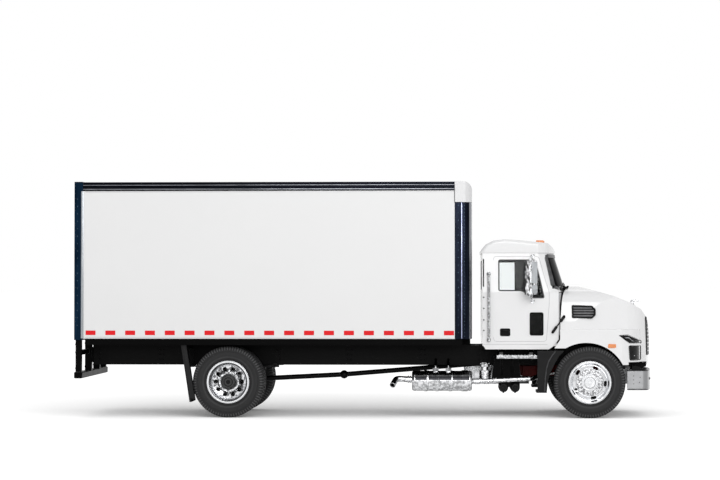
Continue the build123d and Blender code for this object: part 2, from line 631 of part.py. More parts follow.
with BuildPart() as front_posts:
    for name, side in sides:
        block((post_x, box_x[1] - 0.1), mirrored((box_half_width - 4.7, box_half_width + 0.1), side),
              (box_z[0], cap_bottom_z - fit_gap))
    fillet(
        front_posts.edges().filter_by(Axis.Z).filter_by(
            lambda edge: edge.center().X > box_x[1] - 1 and abs(edge.center().Y) > box_half_width - 1),
        box_corner_radius,
    )
    for name, side in sides:
        block((post_x - 1, front_inner_x - 0.1), mirrored((corner_inset - 0.5, inner_half_width), side),
              (box_z[0] - 1, cap_bottom_z + 1), mode=Mode.SUBTRACT)
keep(front_posts.part, "box_front_posts")

with BuildPart() as nose_cap:
    block((post_x, box_x[1]), (-box_half_width - 0.1, box_half_width + 0.1), (cap_bottom_z, box_z[1]))
    fillet(
        nose_cap.edges().filter_by(lambda edge: edge.center().X > box_x[1] - 0.5
                                   and edge.center().Z > cap_bottom_z + 0.5),
        box_corner_radius,
    )
    block((post_x - 1, front_inner_x), (-inner_half_width, inner_half_width),
          (cap_bottom_z - 1, box_z[1] - wall), mode=Mode.SUBTRACT)
keep(nose_cap.part, "box_nose_cap")

opening_half_width = box_half_width - rear_post_width
door_plane_x = box_x[0] + 0.6
pin_x = door_plane_x + door_thickness / 2
pin_y = opening_half_width - door_gap - door_pin_inset
with BuildPart() as rear_frame:
    block((box_x[0], rear_post_x), (-box_half_width - 0.2, box_half_width + 0.2),
          (box_z[0] - frame_foot, box_z[1]))
    block((box_x[0] - 1, rear_post_x + 1), (-opening_half_width, opening_half_width),
          (sill_top_z, header_bottom_z), mode=Mode.SUBTRACT)
    block((box_x[0] + 2.4, rear_post_x + 1), (-inner_half_width, inner_half_width),
          (header_bottom_z - 1, roof_z[0]), mode=Mode.SUBTRACT)
    for name, side in sides:
        rod((pin_x, side * pin_y, sill_top_z - door_pin_length - 0.3), (pin_x, side * pin_y, sill_top_z + 1),
            door_pin_radius + running_gap, mode=Mode.SUBTRACT)
        rod((pin_x, side * pin_y, header_bottom_z - 1),
            (pin_x, side * pin_y, header_bottom_z + door_pin_length + 0.3),
            door_pin_radius + running_gap, mode=Mode.SUBTRACT)
keep(rear_frame.part, "box_rear_frame")

door_z = (sill_top_z + 0.3, header_bottom_z - 0.3)
rod_y = (10.0, 22.0)            # lock rods, from the gap between the doors
rod_radius = 0.25
keeper_z = [door_z[0] + rise for rise in (5.3, 17.3, 32.3, 54.3)]
handle_z = door_z[0] + 22.3
for name, side in sides:
    with BuildPart() as rear_door:
        block((door_plane_x, door_plane_x + door_thickness),
              mirrored((0.15, opening_half_width - door_gap), side), door_z)
        for low, high in ((door_z[0] - door_pin_length, door_z[0] + 0.5),
                          (door_z[1] - 0.5, door_z[1] + door_pin_length)):
            rod((pin_x, side * pin_y, low), (pin_x, side * pin_y, high), door_pin_radius)
    with BuildPart() as lock_rods:
        for y in rod_y:
            rod((door_plane_x - 0.35, side * y, door_z[0] + 0.6),
                (door_plane_x - 0.35, side * y, door_z[1] - 0.6), rod_radius)
            for z in keeper_z:
                block((door_plane_x - 0.5, door_plane_x), mirrored((y - 0.7, y + 0.7), side), (z, z + 1.0))
        block((door_plane_x - 0.55, door_plane_x - 0.25), mirrored((rod_y[0] - 5.0, rod_y[0]), side),
              (handle_z, handle_z + 1.0))
    with BuildPart() as fitted_door:
        add(rear_door.part)
        add(lock_rods.part)
    keep(fitted_door.part, f"rear_{name}_door")

with BuildPart() as tail_lamps:
    for name, side in sides:
        for y in (box_half_width - 14.2, box_half_width - 9.2):
            rod((box_x[0], side * y, deck_z + 4.5), (box_x[0] - 0.3, side * y, deck_z + 4.5), 1.2)
    for y in (-4.0, 0.0, 4.0):
        block((box_x[0] - 0.3, box_x[0]), (y - 0.9, y + 0.9), (box_z[1] - 3.2, box_z[1] - 2.4))
keep(tail_lamps.part, "tail_lamps")

# ---------------------------------------------------------------- cab
# cab sections, each row (z, x of the front corners, x of the front middle, half width)
cab_belt = (belt_z, front_axle_x - 13.5, front_axle_x - 8.5, cab_half_width)
cab_top = (roof_seam_z, front_axle_x - 18.9, front_axle_x - 14.0, cab_half_width - 1.3)
pillar_radius = 6.5             # of the cab's front corners, which the windshield wraps
side_window = from_front([(-39.2, 24.2), (-29.0, 24.2), (-24.8, 21.1), (-19.7, 21.1), (-21.4, 28.8),
                          (-23.5, 37.4), (-39.2, 37.4)])
low_pane = from_front([(-27.9, 23.5), (-24.75, 21.16), (-19.78, 21.16), (-20.28, 23.5)])   # below the belt
peep_x = (front_axle_x - 25.6, front_axle_x - 20.2)
peep_z = (deck_z + 4.9, deck_z + 14.4)
rear_window_y = (13.5 - cab_half_width, cab_half_width - 13.5)
rear_window_z = (deck_z + 24.8, deck_z + 37.4)
windshield_half = (cab_half_width - 0.8, cab_half_width - 3.0)   # of the opening, at its foot and head
windshield_z = (deck_z + 25.0, deck_z + 39.7)


def greenhouse(inset):
    """The cab above the belt, each face moved in by inset."""
    with BuildPart() as piece:
        for z, corner_x, middle_x, half in (cab_belt, cab_top):
            back, side_y = cab_back_x + inset, half - inset
            with BuildSketch(Plane.XY.offset(z)) as section:
                with BuildLine():
                    Polyline((corner_x - inset, side_y), (back, side_y), (back, -side_y),
                             (corner_x - inset, -side_y))
                    ThreePointArc((corner_x - inset, -side_y), (middle_x - inset, 0),
                                  (corner_x - inset, side_y))
                make_face()
                fillet(section.vertices().sort_by(Axis.X)[-2:], pillar_radius - inset)
        loft()
    return piece.part


def cab_tub(inset):
    """The cab below the belt, each face moved in by inset."""
    low = cab_floor_z + inset
    outline = [
        (cab_back_x + inset, low + 2.0), (cab_back_x + inset + 1.4, low),
        (cab_front_x - 4.3 - inset, low), (cab_front_x - 2.5 - inset, low + 1.2),
        (cab_front_x - inset, low + 4.4), (cab_front_x - inset, belt_z),
        (cab_back_x + inset, belt_z),
    ]
    half = cab_half_width - inset
    with BuildPart() as piece:
        side_prism(outline, (-half, half))
    return piece.part


tub_floor_top = rail_z[1] + wall
window_cut = cab_half_width + 7.5   # cuts for windows reach past the cab's sides
with BuildPart() as cab_shell:
    add(cab_tub(0))
    add(greenhouse(0))
    add(cab_tub(wall), mode=Mode.SUBTRACT)
    add(greenhouse(wall), mode=Mode.SUBTRACT)
    block((cab_back_x, cab_front_x), (-cab_half_width + 0.6, cab_half_width - 0.6),
          (rail_z[1], tub_floor_top))
    block((cab_back_x - 1, cab_front_x + 1), (-cab_half_width + 3, cab_half_width - 3),
          (cab_floor_z - 1, rail_z[1]), mode=Mode.SUBTRACT)
    side_prism(side_window, (-window_cut, window_cut), mode=Mode.SUBTRACT)
    block(peep_x, (-window_cut, 12.5 - cab_half_width), peep_z, mode=Mode.SUBTRACT)
    block((cab_back_x - 2, cab_back_x + 3), rear_window_y, rear_window_z, mode=Mode.SUBTRACT)
    with BuildSketch(Plane(origin=(front_axle_x - 20.2, 0, 0), x_dir=(0, 1, 0), z_dir=(1, 0, 0))):
        with BuildLine():
            foot, head = windshield_half
            Polyline((-foot, windshield_z[0]), (foot, windshield_z[0]),
                     (head, windshield_z[1]), (-head, windshield_z[1]), close=True)
        make_face()
    extrude(amount=20, mode=Mode.SUBTRACT)
keep(cab_shell.part, "cab_shell")

glass_thickness = 0.7
glass_depth = 0.25
with BuildPart() as windshield:
    add(greenhouse(glass_depth))
    add(greenhouse(glass_depth + glass_thickness), mode=Mode.SUBTRACT)
    with BuildSketch(Plane(origin=(front_axle_x - 20.2, 0, 0), x_dir=(0, 1, 0), z_dir=(1, 0, 0))):
        with BuildLine():
            foot, head = (half - fit_gap for half in windshield_half)
            Polyline((-foot, windshield_z[0] + fit_gap), (foot, windshield_z[0] + fit_gap),
                     (head, windshield_z[1] - fit_gap), (-head, windshield_z[1] - fit_gap), close=True)
        make_face()
    extrude(amount=20, mode=Mode.INTERSECT)
keep(windshield.part, "windshield")

with BuildPart() as cab_windows:
    with BuildSketch(Plane.XZ.offset(-window_cut)):
        with BuildLine():
            Polyline(*side_window, close=True)
        make_face()
        offset(amount=-fit_gap)
    extrude(amount=2 * window_cut)
    add(greenhouse(glass_depth), mode=Mode.INTERSECT)
    add(greenhouse(glass_depth + glass_thickness), mode=Mode.SUBTRACT)
    pane_y = (cab_half_width - glass_depth - glass_thickness, cab_half_width - glass_depth)
    for name, side in sides:
        side_prism(low_pane, mirrored(pane_y, side))
    block((peep_x[0] + fit_gap, peep_x[1] - fit_gap), mirrored(pane_y, -1),
          (peep_z[0] + fit_gap, peep_z[1] - fit_gap))
    block((cab_back_x + glass_depth, cab_back_x + glass_depth + glass_thickness),
          (rear_window_y[0] + fit_gap, rear_window_y[1] - fit_gap),
          (rear_window_z[0] + fit_gap, rear_window_z[1] - fit_gap))
keep(cab_windows.part, "cab_windows")

roof_outline = from_front([(-46.9, 40.55), (-46.9, 41.9), (-44.9, 44.3), (-41.4, 46.1), (-36.8, 46.7),
                           (-32.2, 46.4), (-18.0, 44.9), (-15.6, 43.4), (-13.6, 41.2), (-13.8, 40.55)])
roof_half_width = cab_half_width - 1.0
roof_corner_x = front_axle_x - 18.6
roof_back_x = roof_outline[0][0]
with BuildPart() as cab_roof:
    side_prism(roof_outline, (-roof_half_width, roof_half_width))
    fillet(cab_roof.edges().filter_by(lambda edge: abs(edge.center().Y) > roof_half_width - 0.5
                                      and edge.center().Z > roof_seam_z + 2.3), 1.6)
    block((cab_back_x + wall, front_axle_x - 20.2), (1.7 - roof_half_width, roof_half_width - 1.7),
          (roof_seam_z - 1, roof_seam_z + 2.9), mode=Mode.SUBTRACT)
    with BuildSketch(Plane.XY.offset(roof_seam_z - 1)) as roof_plan:
        with BuildLine():
            half = roof_half_width + 0.1
            Polyline((roof_corner_x, half), (roof_back_x, half), (roof_back_x, -half), (roof_corner_x, -half))
            ThreePointArc((roof_corner_x, -half), (roof_corner_x + 5.1, 0), (roof_corner_x, half))
        make_face()
        fillet(roof_plan.vertices().sort_by(Axis.X)[-2:], pillar_radius)
    extrude(amount=10, mode=Mode.INTERSECT)
keep(cab_roof.part, "cab_roof")

seat_centre_y = cab_half_width - 17.0
column_lean = radians(57)       # steering column, from upright
wheel_centre = (front_axle_x - 24.6, seat_centre_y, deck_z + 18.0)
column_plane = Plane(origin=wheel_centre, x_dir=(0, 1, 0),
                     z_dir=(-sin(column_lean), 0, cos(column_lean)))
column_radius = 0.8
trim_half = cab_half_width - 1.9
with BuildPart() as cab_interior:
    block((front_axle_x - 44.4, front_axle_x - 19.2), (-trim_half, trim_half),
          (tub_floor_top, tub_floor_top + 0.8))
    side_prism(from_front([(-22.2, 14.8), (-22.2, 19.8), (-19.2, 22.4), (-15.0, 23.2), (-15.0, 12.8),
                           (-19.2, 12.8)]),
               (-trim_half, trim_half))
    block((front_axle_x - 36.2, front_axle_x - 19.2), (-6.0, 6.0), (tub_floor_top, deck_z + 4.8))
    block((front_axle_x - 16.4, front_axle_x - 15.0), (-trim_half, trim_half), (deck_z + 4.8, deck_z + 13.3))
    with BuildSketch(column_plane):
        Circle(column_radius + fit_gap)
    extrude(amount=-8, mode=Mode.SUBTRACT)
    for name, side in sides:
        span = mirrored((seat_centre_y - 7.0, seat_centre_y + 7.0), side)
        block((front_axle_x - 42.2, front_axle_x - 29.2), span, (tub_floor_top + 0.8, deck_z + 9.8))
        side_prism(from_front([(-44.6, 8.8), (-45.0, 25.8), (-42.2, 26.2), (-39.8, 9.8)]), span)
keep(cab_interior.part, "cab_interior")


with BuildPart() as steering_wheel:
    with BuildSketch(column_plane):
        Circle(5.4)
        Circle(4.7, mode=Mode.SUBTRACT)
        Rectangle(10.0, 0.9)
        with Locations((0, -2.5)):
            Rectangle(0.9, 4.8)
        Circle(1.2)
    extrude(amount=-0.7)
    with BuildSketch(column_plane.offset(-0.7)):
        Circle(column_radius)
    extrude(amount=-3.6)
keep(steering_wheel.part, "steering_wheel")

# ---------------------------------------------------------------- hood and nose
# ridge of the hood along its middle, from the foot of the nose back over the cowl
nose_line = from_front([(27.8, -4.2), (27.7, 0.8), (26.4, 9.3), (25.2, 13.2), (23.0, 16.0), (18.8, 18.6),
                        (11.3, 21.7), (2.3, 24.3), (-3.5, 26.0), (-7.2, 26.0)])
front_face_points = 4           # points of the ridge on the upright front
hood_back_x = front_axle_x - 18.2
hood_seam_x = front_axle_x - 12.8
hood_seam_middle_x = front_axle_x - 6.9
hood_bottom_z = deck_z - 8.1
hood_top_z = deck_z + 26.4
fender_top_z = deck_z + 7.3
fender_seam_z = deck_z + 2.8
inner_fender_x = front_axle_x - 15.3
inner_fender_z = deck_z - 0.9
below_hood_z = hood_bottom_z - 8.1
nose_half_width = cab_half_width - 13.5
nose_corner_x = front_axle_x + 16.8
fender_corner_x = front_axle_x + 13.8
past_side = fender_half_width + 5.2     # cuts from the sides start here


def hood_solid(inset):
    """The closed outer form of hood and fenders, each face moved in by inset."""
    half = cab_half_width - inset
    nose_half = nose_half_width - inset
    nose_x = front_axle_x - inset
    with BuildPart() as piece:
        outline = [(hood_back_x, hood_bottom_z + inset), (nose_x + 27.0, hood_bottom_z + inset)]
        outline += [(x - inset, z - inset * 0.6) for x, z in nose_line[:front_face_points]]
        outline += [(x - inset * 0.5, z - inset) for x, z in nose_line[front_face_points:]]
        outline += [(hood_back_x, nose_line[-1][1] - inset)]
        side_prism(outline, (-half, half))
        # seen from the front: upright flanks that lean in to a rounded crown
        with BuildSketch(Plane(origin=(hood_back_x, 0, 0), x_dir=(0, 1, 0), z_dir=(1, 0, 0))) as front_view:
            with BuildLine():
                shoulder = cab_half_width - 8.5 - inset * 0.5
                foot_z, waist_z, bend_z = below_hood_z, deck_z + 10.8, deck_z + 18.3
                crown_z = deck_z + 24.6 - inset
                Polyline((-half, foot_z), (half, foot_z), (half, waist_z), (half - 2.0, bend_z))
                ThreePointArc((half - 2.0, bend_z), (half - 4.2, bend_z + 4.0), (shoulder, crown_z))
                ThreePointArc((shoulder, crown_z), (0, hood_top_z - inset), (-shoulder, crown_z))
                ThreePointArc((-shoulder, crown_z), (-half + 4.2, bend_z + 4.0), (-half + 2.0, bend_z))
                Polyline((-half + 2.0, bend_z), (-half, waist_z), (-half, foot_z))
            make_face()
        extrude(front_view.sketch, amount=60, mode=Mode.INTERSECT)
        # seen from above: flanks that close in to the grille, and a bowed front
        with BuildSketch(Plane.XY) as plan_view:
            with BuildLine():
                Polyline((nose_corner_x, half - 4.4), (front_axle_x - 6.2, half), (hood_back_x, half),
                         (hood_back_x, -half), (front_axle_x - 6.2, -half), (nose_corner_x, -half + 4.4))
                ThreePointArc((nose_corner_x, -half + 4.4), (nose_x + 23.0, -half + 8.2),
                              (nose_x + 25.7, -nose_half))
                ThreePointArc((nose_x + 25.7, -nose_half), (nose_x + 27.9, 0), (nose_x + 25.7, nose_half))
                ThreePointArc((nose_x + 25.7, nose_half), (nose_x + 23.0, half - 8.2),
                              (nose_corner_x, half - 4.4))
            make_face()
        extrude(plan_view.sketch, amount=hood_top_z + 10, mode=Mode.INTERSECT)
        # fenders
        with BuildSketch(Plane.XY.offset(hood_bottom_z + inset)) as fender_plan:
            with BuildLine():
                flank, inner = fender_half_width - inset, fender_half_width - 14.8
                Polyline((hood_back_x, flank), (fender_corner_x, flank))
                ThreePointArc((fender_corner_x, flank), (nose_x + 19.6, flank - 3.4), (nose_x + 22.0, inner))
                Line((nose_x + 22.0, inner), (nose_x + 22.0, -inner))
                ThreePointArc((nose_x + 22.0, -inner), (nose_x + 19.6, -flank + 3.4),
                              (fender_corner_x, -flank))
                Polyline((fender_corner_x, -flank), (hood_back_x, -flank), (hood_back_x, flank))
            make_face()
        extrude(fender_plan.sketch, amount=fender_top_z - hood_bottom_z - 2 * inset)
    return piece.part


vent_outline = from_front([(-7.4, 17.7), (1.1, 17.4), (2.6, 16.0), (2.6, 13.6), (1.1, 12.2), (-7.4, 12.4)])
upper_lamp = from_front([(12.6, 4.7), (16.4, 4.8), (23.0, 2.2), (23.0, 1.3), (17.2, 1.5)])
lower_lamp = from_front([(17.0, 0.2), (23.0, 0.2), (23.0, -6.0), (17.4, -6.0)])
lamp_inner_y = cab_half_width - 6.5
grille_half = (cab_half_width - 13.5, cab_half_width - 11.5)    # at its foot and its head
grille_z = (deck_z - 4.2, deck_z + 12.8)
grille_back_x = front_axle_x + 19.8
ear_span = (9.0, 10.2)          # the hood's hinge ears
bracket_span = (10.5, 11.7)     # the brackets beside them
skin = wall
outer_hood = hood_solid(0)
with BuildPart() as hood:
    add(outer_hood)
    add(hood_solid(skin), mode=Mode.SUBTRACT)
    inside_half = fender_half_width - skin
    block((front_axle_x - 28.2, front_axle_x + 25.8), (-inside_half, inside_half),
          (below_hood_z, hood_bottom_z + skin + 0.01), mode=Mode.SUBTRACT)
    # rear edge, bowed to follow the foot of the windshield
    seam_half = cab_half_width + 0.5
    with BuildSketch(Plane.XY.offset(fender_seam_z)) as rear_cut:
        with BuildLine():
            Polyline((hood_seam_x, seam_half), (hood_seam_x, past_side), (hood_back_x - 10, past_side),
                     (hood_back_x - 10, -past_side), (hood_seam_x, -past_side), (hood_seam_x, -seam_half))
            ThreePointArc((hood_seam_x, -seam_half), (hood_seam_middle_x, 0), (hood_seam_x, seam_half))
        make_face()
    extrude(rear_cut.sketch, amount=40, mode=Mode.SUBTRACT)
    side_prism([(hood_back_x - 10, below_hood_z), (inner_fender_x, below_hood_z),
                (inner_fender_x, inner_fender_z), (hood_seam_x, fender_seam_z),
                (hood_back_x - 10, fender_seam_z)], (-past_side, past_side), mode=Mode.SUBTRACT)
    block((hood_back_x - 10, hood_seam_x), (-cab_half_width - 0.4, cab_half_width + 0.4),
          (below_hood_z, fender_seam_z), mode=Mode.SUBTRACT)
    # wheel arches
    for name, side in sides:
        rod((arch_centre[0], side * 15.0, arch_centre[1]), (arch_centre[0], side * past_side, arch_centre[1]),
            arch_radius, mode=Mode.SUBTRACT)
    block((hood_back_x - 10, arch_centre[0] - 8), (-past_side, past_side), (below_hood_z, inner_fender_z),
          mode=Mode.SUBTRACT)
    side_prism(vent_outline, (-past_side, past_side), mode=Mode.SUBTRACT)
    for name, side in sides:
        side_prism(upper_lamp, mirrored((lamp_inner_y, past_side), side), mode=Mode.SUBTRACT)
        side_prism(lower_lamp, mirrored((lamp_inner_y, past_side), side), mode=Mode.SUBTRACT)
    with BuildSketch(Plane(origin=(grille_back_x, 0, 0), x_dir=(0, 1, 0), z_dir=(1, 0, 0))) as grille_cut:
        with BuildLine():
            Polyline((-grille_half[0], grille_z[0]), (grille_half[0], grille_z[0]),
                     (grille_half[1], grille_z[1]), (-grille_half[1], grille_z[1]), close=True)
        make_face()
    extrude(grille_cut.sketch, amount=12, mode=Mode.SUBTRACT)
    # hinge ears at the foot of the nose
    for name, side in sides:
        slot = mirrored((ear_span[0] - 0.8, ear_span[1] + 2.0), side)
        block((front_axle_x + 22.8, front_axle_x + 26.7), slot, (deck_z - 9.2, deck_z - 5.8),
              mode=Mode.SUBTRACT)
        side_prism(from_front([(24.6, -9.5), (26.4, -9.5), (26.7, -7.9), (27.0, -5.6), (26.0, -5.6),
                               (24.6, -7.4)]), mirrored(ear_span, side))
        rod((hood_hinge[0], side * (ear_span[0] - 1), hood_hinge[1]),
            (hood_hinge[0], side * (ear_span[1] + 0.8), hood_hinge[1]),
            hood_hinge_radius + running_gap, mode=Mode.SUBTRACT)
keep(hood.part, "hood")

with BuildPart() as headlights:
    for name, side in sides:
        side_prism(lower_lamp, mirrored((lamp_inner_y + fit_gap, past_side), side))
        side_prism(upper_lamp, mirrored((lamp_inner_y + fit_gap, past_side), side))
    add(hood_solid(0.2), mode=Mode.INTERSECT)
    add(hood_solid(skin), mode=Mode.SUBTRACT)
keep(headlights.part, "headlights")

with BuildPart() as grille:
    with BuildSketch(Plane(origin=(grille_back_x, 0, 0), x_dir=(0, 1, 0), z_dir=(1, 0, 0))) as grille_face:
        with BuildLine():
            foot, head = (half - fit_gap for half in grille_half)
            low, high = grille_z[0] + fit_gap, grille_z[1] - fit_gap
            Polyline((-foot, low), (foot, low), (head, high), (-head, high), close=True)
        make_face()
    extrude(grille_face.sketch, amount=12)
    add(hood_solid(-0.3), mode=Mode.INTERSECT)
    add(hood_solid(skin), mode=Mode.SUBTRACT)
keep(grille.part, "grille")

with BuildPart() as hood_vents:
    for name, side in sides:
        side_prism(vent_outline, mirrored((cab_half_width - 5.5, past_side), side))
    add(hood_solid(0.5), mode=Mode.INTERSECT)
    add(hood_solid(skin), mode=Mode.SUBTRACT)
keep(hood_vents.part, "hood_vents")

with BuildPart() as ornament:
    block((front_axle_x + 20.4, front_axle_x + 22.0), (-0.7, 0.7), (deck_z + 17.2, deck_z + 19.2))
    side_prism(from_front([(20.0, 19.0), (21.0, 20.2), (24.4, 20.2), (24.8, 19.4)]), (-0.55, 0.55))
    add(outer_hood, mode=Mode.SUBTRACT)
keep(ornament.part, "hood_ornament")

latch_y = cab_half_width + 0.55
with BuildPart() as latches:
    for name, side in sides:
        side_prism(from_front([(-16.8, 6.4), (-16.0, 5.7), (-10.5, 13.2), (-11.3, 13.9)]),
                   mirrored((latch_y, latch_y + 0.5), side))
        block((front_axle_x - 11.6, front_axle_x - 10.6), mirrored((cab_half_width - 0.1, latch_y), side),
              (deck_z + 12.4, deck_z + 13.6))
keep(latches.part, "hood_latches")

bracket_back_x = bearer_front_x + fit_gap
with BuildPart() as hinge_brackets:
    for name, side in sides:
        side_prism([(bracket_back_x, rail_z[0] + 3.2), (bracket_back_x, rail_z[0])]
                   + from_front([(23.3, -10.4), (26.2, -9.3), (26.2, -8.0), (24.4, -7.8), (19.8, -7.3)]),
                   mirrored(bracket_span, side))
        rod((hood_hinge[0], side * (ear_span[0] - 0.3), hood_hinge[1]),
            (hood_hinge[0], side * bracket_span[1], hood_hinge[1]), hood_hinge_radius)
    block((bracket_back_x, bearer_front_x + 1.2), (-bracket_span[1], bracket_span[1]),
          (rail_z[0] + 1.0, rail_z[0] + 3.2))
keep(hinge_brackets.part, "hood_hinge_brackets")

bumper_z = (deck_z - 19.0, deck_z - 10.3)
bumper_half = cab_half_width + 1.7
bumper_back_x = half_length - 12.0
bumper_end_x = half_length - 5.4
with BuildPart() as bumper:
    for inset, back, mode in ((0, bumper_back_x, Mode.ADD), (wall, bumper_back_x - 1, Mode.SUBTRACT)):
        half = bumper_half - inset
        turn_x, face_x = half_length - 3.8 - inset * 0.7, half_length - 2.9 - inset
        with BuildSketch(Plane.XY.offset(bumper_z[0])) as bumper_plan:
            with BuildLine():
                Polyline((bumper_end_x, half), (back, half), (back, -half), (bumper_end_x, -half))
                ThreePointArc((bumper_end_x, -half), (turn_x, -half + 0.7), (face_x, -half + 2.2))
                ThreePointArc((face_x, -half + 2.2), (half_length - inset, 0), (face_x, half - 2.2))
                ThreePointArc((face_x, half - 2.2), (turn_x, half - 0.7), (bumper_end_x, half))
            make_face()
        extrude(bumper_plan.sketch, amount=bumper_z[1] - bumper_z[0], mode=mode)
    for name, side in sides:
        block((bearer_front_x + fit_gap, bearer_front_x + 1.2), mirrored((4.6, 9.6), side),
              (bumper_z[0] + 1.8, rail_z[0] + 0.9))
        block((bearer_front_x + 1.0, half_length - 1.2), mirrored((5.0, 6.4), side),
              (bumper_z[0] + 2.3, bumper_z[1] - 1.1))
keep(bumper.part, "front_bumper")

# ---------------------------------------------------------------- fittings on the cab
mirror_x = front_axle_x - 25.6
mirror_y = cab_half_width + 5.5
mirror_z = deck_z + 29.8
mirror_height = 14.8
bracket_radius = 0.45
# mirror arms, each row (end on the post, rise of the foot, y of the foot)
mirror_arms = ((7.8, 9.4, cab_half_width - 0.65), (-7.8, -10.4, cab_half_width + 0.4))
with BuildPart() as mirrors:
    for name, side in sides:
        head_plane = Plane(origin=(mirror_x, side * mirror_y, mirror_z), x_dir=(0.5, -side * 0.86, 0),
                           z_dir=(0, 0, 1))
        with BuildSketch(head_plane.offset(-mirror_height / 2)) as head:
            RectangleRounded(6.0, 3.8, 1.2)
        extrude(head.sketch, amount=mirror_height)
        rod((mirror_x, side * mirror_y, mirror_z - 8.0), (mirror_x, side * mirror_y, mirror_z + 8.0),
            bracket_radius)
        for arm_end, foot_rise, foot_y in mirror_arms:
            rod((mirror_x, side * mirror_y, mirror_z + arm_end),
                (mirror_x + 1.0, side * foot_y, mirror_z + foot_rise), bracket_radius)
keep(mirrors.part, "mirrors")

grab_x = cab_back_x + 2.8
grab_y = cab_half_width + 1.4
grab_z = (deck_z + 2.4, deck_z + 31.8)
with BuildPart() as grab_handles:
    for name, side in sides:
        rod((grab_x, side * grab_y, grab_z[0]), (grab_x, side * grab_y, grab_z[1]), 0.45)
        for z, foot_y in ((grab_z[0] + 0.5, cab_half_width), (grab_z[1] - 0.5, cab_half_width - 0.5)):
            rod((grab_x, side * foot_y, z), (grab_x, side * grab_y, z), 0.4)
keep(grab_handles.part, "grab_handles")

cowl_half = cab_half_width * 57 / 65
cowl_back_x = front_axle_x - 12.6
with BuildPart() as cowl:
    with BuildSketch(Plane.XY.offset(belt_z + 0.9)) as cowl_plan:
        with BuildLine():
            front_x = cowl_back_x + 0.5
            ThreePointArc((front_x, -cowl_half), (front_x + 4.8, 0), (front_x, cowl_half))
            Line((front_x, cowl_half), (cowl_back_x, cowl_half))
            ThreePointArc((cowl_back_x, cowl_half), (cowl_back_x + 4.3, 0), (cowl_back_x, -cowl_half))
            Line((cowl_back_x, -cowl_half), (front_x, -cowl_half))
        make_face()
    extrude(cowl_plan.sketch, amount=0.8)
keep(cowl.part, "cowl_panel")

marker_x = front_axle_x - 19.8
outer_marker_y = cab_half_width - 12.5
with BuildPart() as marker_lamps:
    for y, setback in ((-outer_marker_y, 1.2), (-5.0, 0.1), (0.0, 0.0), (5.0, 0.1), (outer_marker_y, 1.2)):
        x = marker_x - setback
        block((x - 1.6, x + 1.6), (y - 0.8, y + 0.8), (roof_seam_z + 3.9, roof_seam_z + 5.8))
    add(cab_roof.part, mode=Mode.SUBTRACT)
keep(marker_lamps.part, "marker_lamps")
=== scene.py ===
from math import cos, pi, radians, sin

import bmesh
import bpy
from mathutils import Matrix, Vector
from mathutils.bvhtree import BVHTree


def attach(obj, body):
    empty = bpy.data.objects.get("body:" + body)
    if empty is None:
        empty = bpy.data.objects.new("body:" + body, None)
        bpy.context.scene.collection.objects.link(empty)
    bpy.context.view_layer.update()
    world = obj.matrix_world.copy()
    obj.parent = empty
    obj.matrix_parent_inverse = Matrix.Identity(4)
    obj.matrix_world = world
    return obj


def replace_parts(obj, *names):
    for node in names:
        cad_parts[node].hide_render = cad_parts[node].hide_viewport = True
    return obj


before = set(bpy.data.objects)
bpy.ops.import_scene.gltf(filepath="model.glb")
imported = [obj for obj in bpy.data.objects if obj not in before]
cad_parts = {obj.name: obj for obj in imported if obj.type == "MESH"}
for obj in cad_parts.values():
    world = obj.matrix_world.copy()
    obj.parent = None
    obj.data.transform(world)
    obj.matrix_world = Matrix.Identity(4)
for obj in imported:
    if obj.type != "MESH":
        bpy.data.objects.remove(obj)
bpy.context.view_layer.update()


# ------------------------------------------------------------------ the studio
# A white seamless floor under an even white sky, with a broad soft lamp before the truck's
# right side and a weaker one behind it. The camera stands a little above axle height.
class Out:
    """One output of a node. Arithmetic on it adds Math nodes to the same tree."""

    def __init__(self, tree, socket=None):
        self.tree, self.socket = tree, socket

    def node(self, kind, settings=None, inputs=None, output=0):
        """Add any node: its settings first, then the values or links of its sockets."""
        made = self.tree.nodes.new(kind)
        for key, value in (settings or {}).items():
            setattr(made, key, value)
        for key, value in (inputs or {}).items():
            if isinstance(value, Out):
                self.tree.links.new(value.socket, made.inputs[key])
            else:
                made.inputs[key].default_value = value
        return Out(self.tree, made.outputs[output] if len(made.outputs) else None)

    def maths(self, operation, *terms):
        return self.node("ShaderNodeMath", {"operation": operation}, dict(enumerate(terms)))

    def __add__(self, other):
        return self.maths("ADD", self, other)

    def __sub__(self, other):
        return self.maths("SUBTRACT", self, other)

    def __mul__(self, other):
        return self.maths("MULTIPLY", self, other)

    def __pow__(self, other):
        return self.maths("POWER", self, other)

    def __gt__(self, other):
        return self.maths("GREATER_THAN", self, other)

    def __lt__(self, other):
        return self.maths("LESS_THAN", self, other)

    def ramp(self, low, high, start=0.0, end=1.0):
        """This value carried from low..high to start..end, and held there."""
        return self.node("ShaderNodeMapRange", None, {0: self, 1: low, 2: high, 3: start, 4: end})

    def between(self, low, high):
        """A colour between two others, by this value."""
        return self.node("ShaderNodeMix", {"data_type": "RGBA"}, {0: self, 6: low, 7: high}, 2)


def seen_plain(tree):
    """1 for rays that come straight, or by way of metal or glass, from the camera."""
    rays = [Out(tree).node("ShaderNodeLightPath", output=kind)
            for kind in ("Is Camera Ray", "Is Glossy Ray", "Is Transmission Ray")]
    return rays[0].maths("MAXIMUM", rays[0], rays[0].maths("MAXIMUM", rays[1], rays[2]))


sky = bpy.data.worlds.new("studio_sky")
sky.use_nodes = True
sky.node_tree.nodes.clear()
sky_light = 0.57
seen = seen_plain(sky.node_tree)
seen.node("ShaderNodeOutputWorld", None, {"Surface": seen.node(
    "ShaderNodeBackground", None, {"Color": (1, 1, 1, 1), "Strength": seen.ramp(0, 1, sky_light, 1.0)})})
bpy.context.scene.world = sky

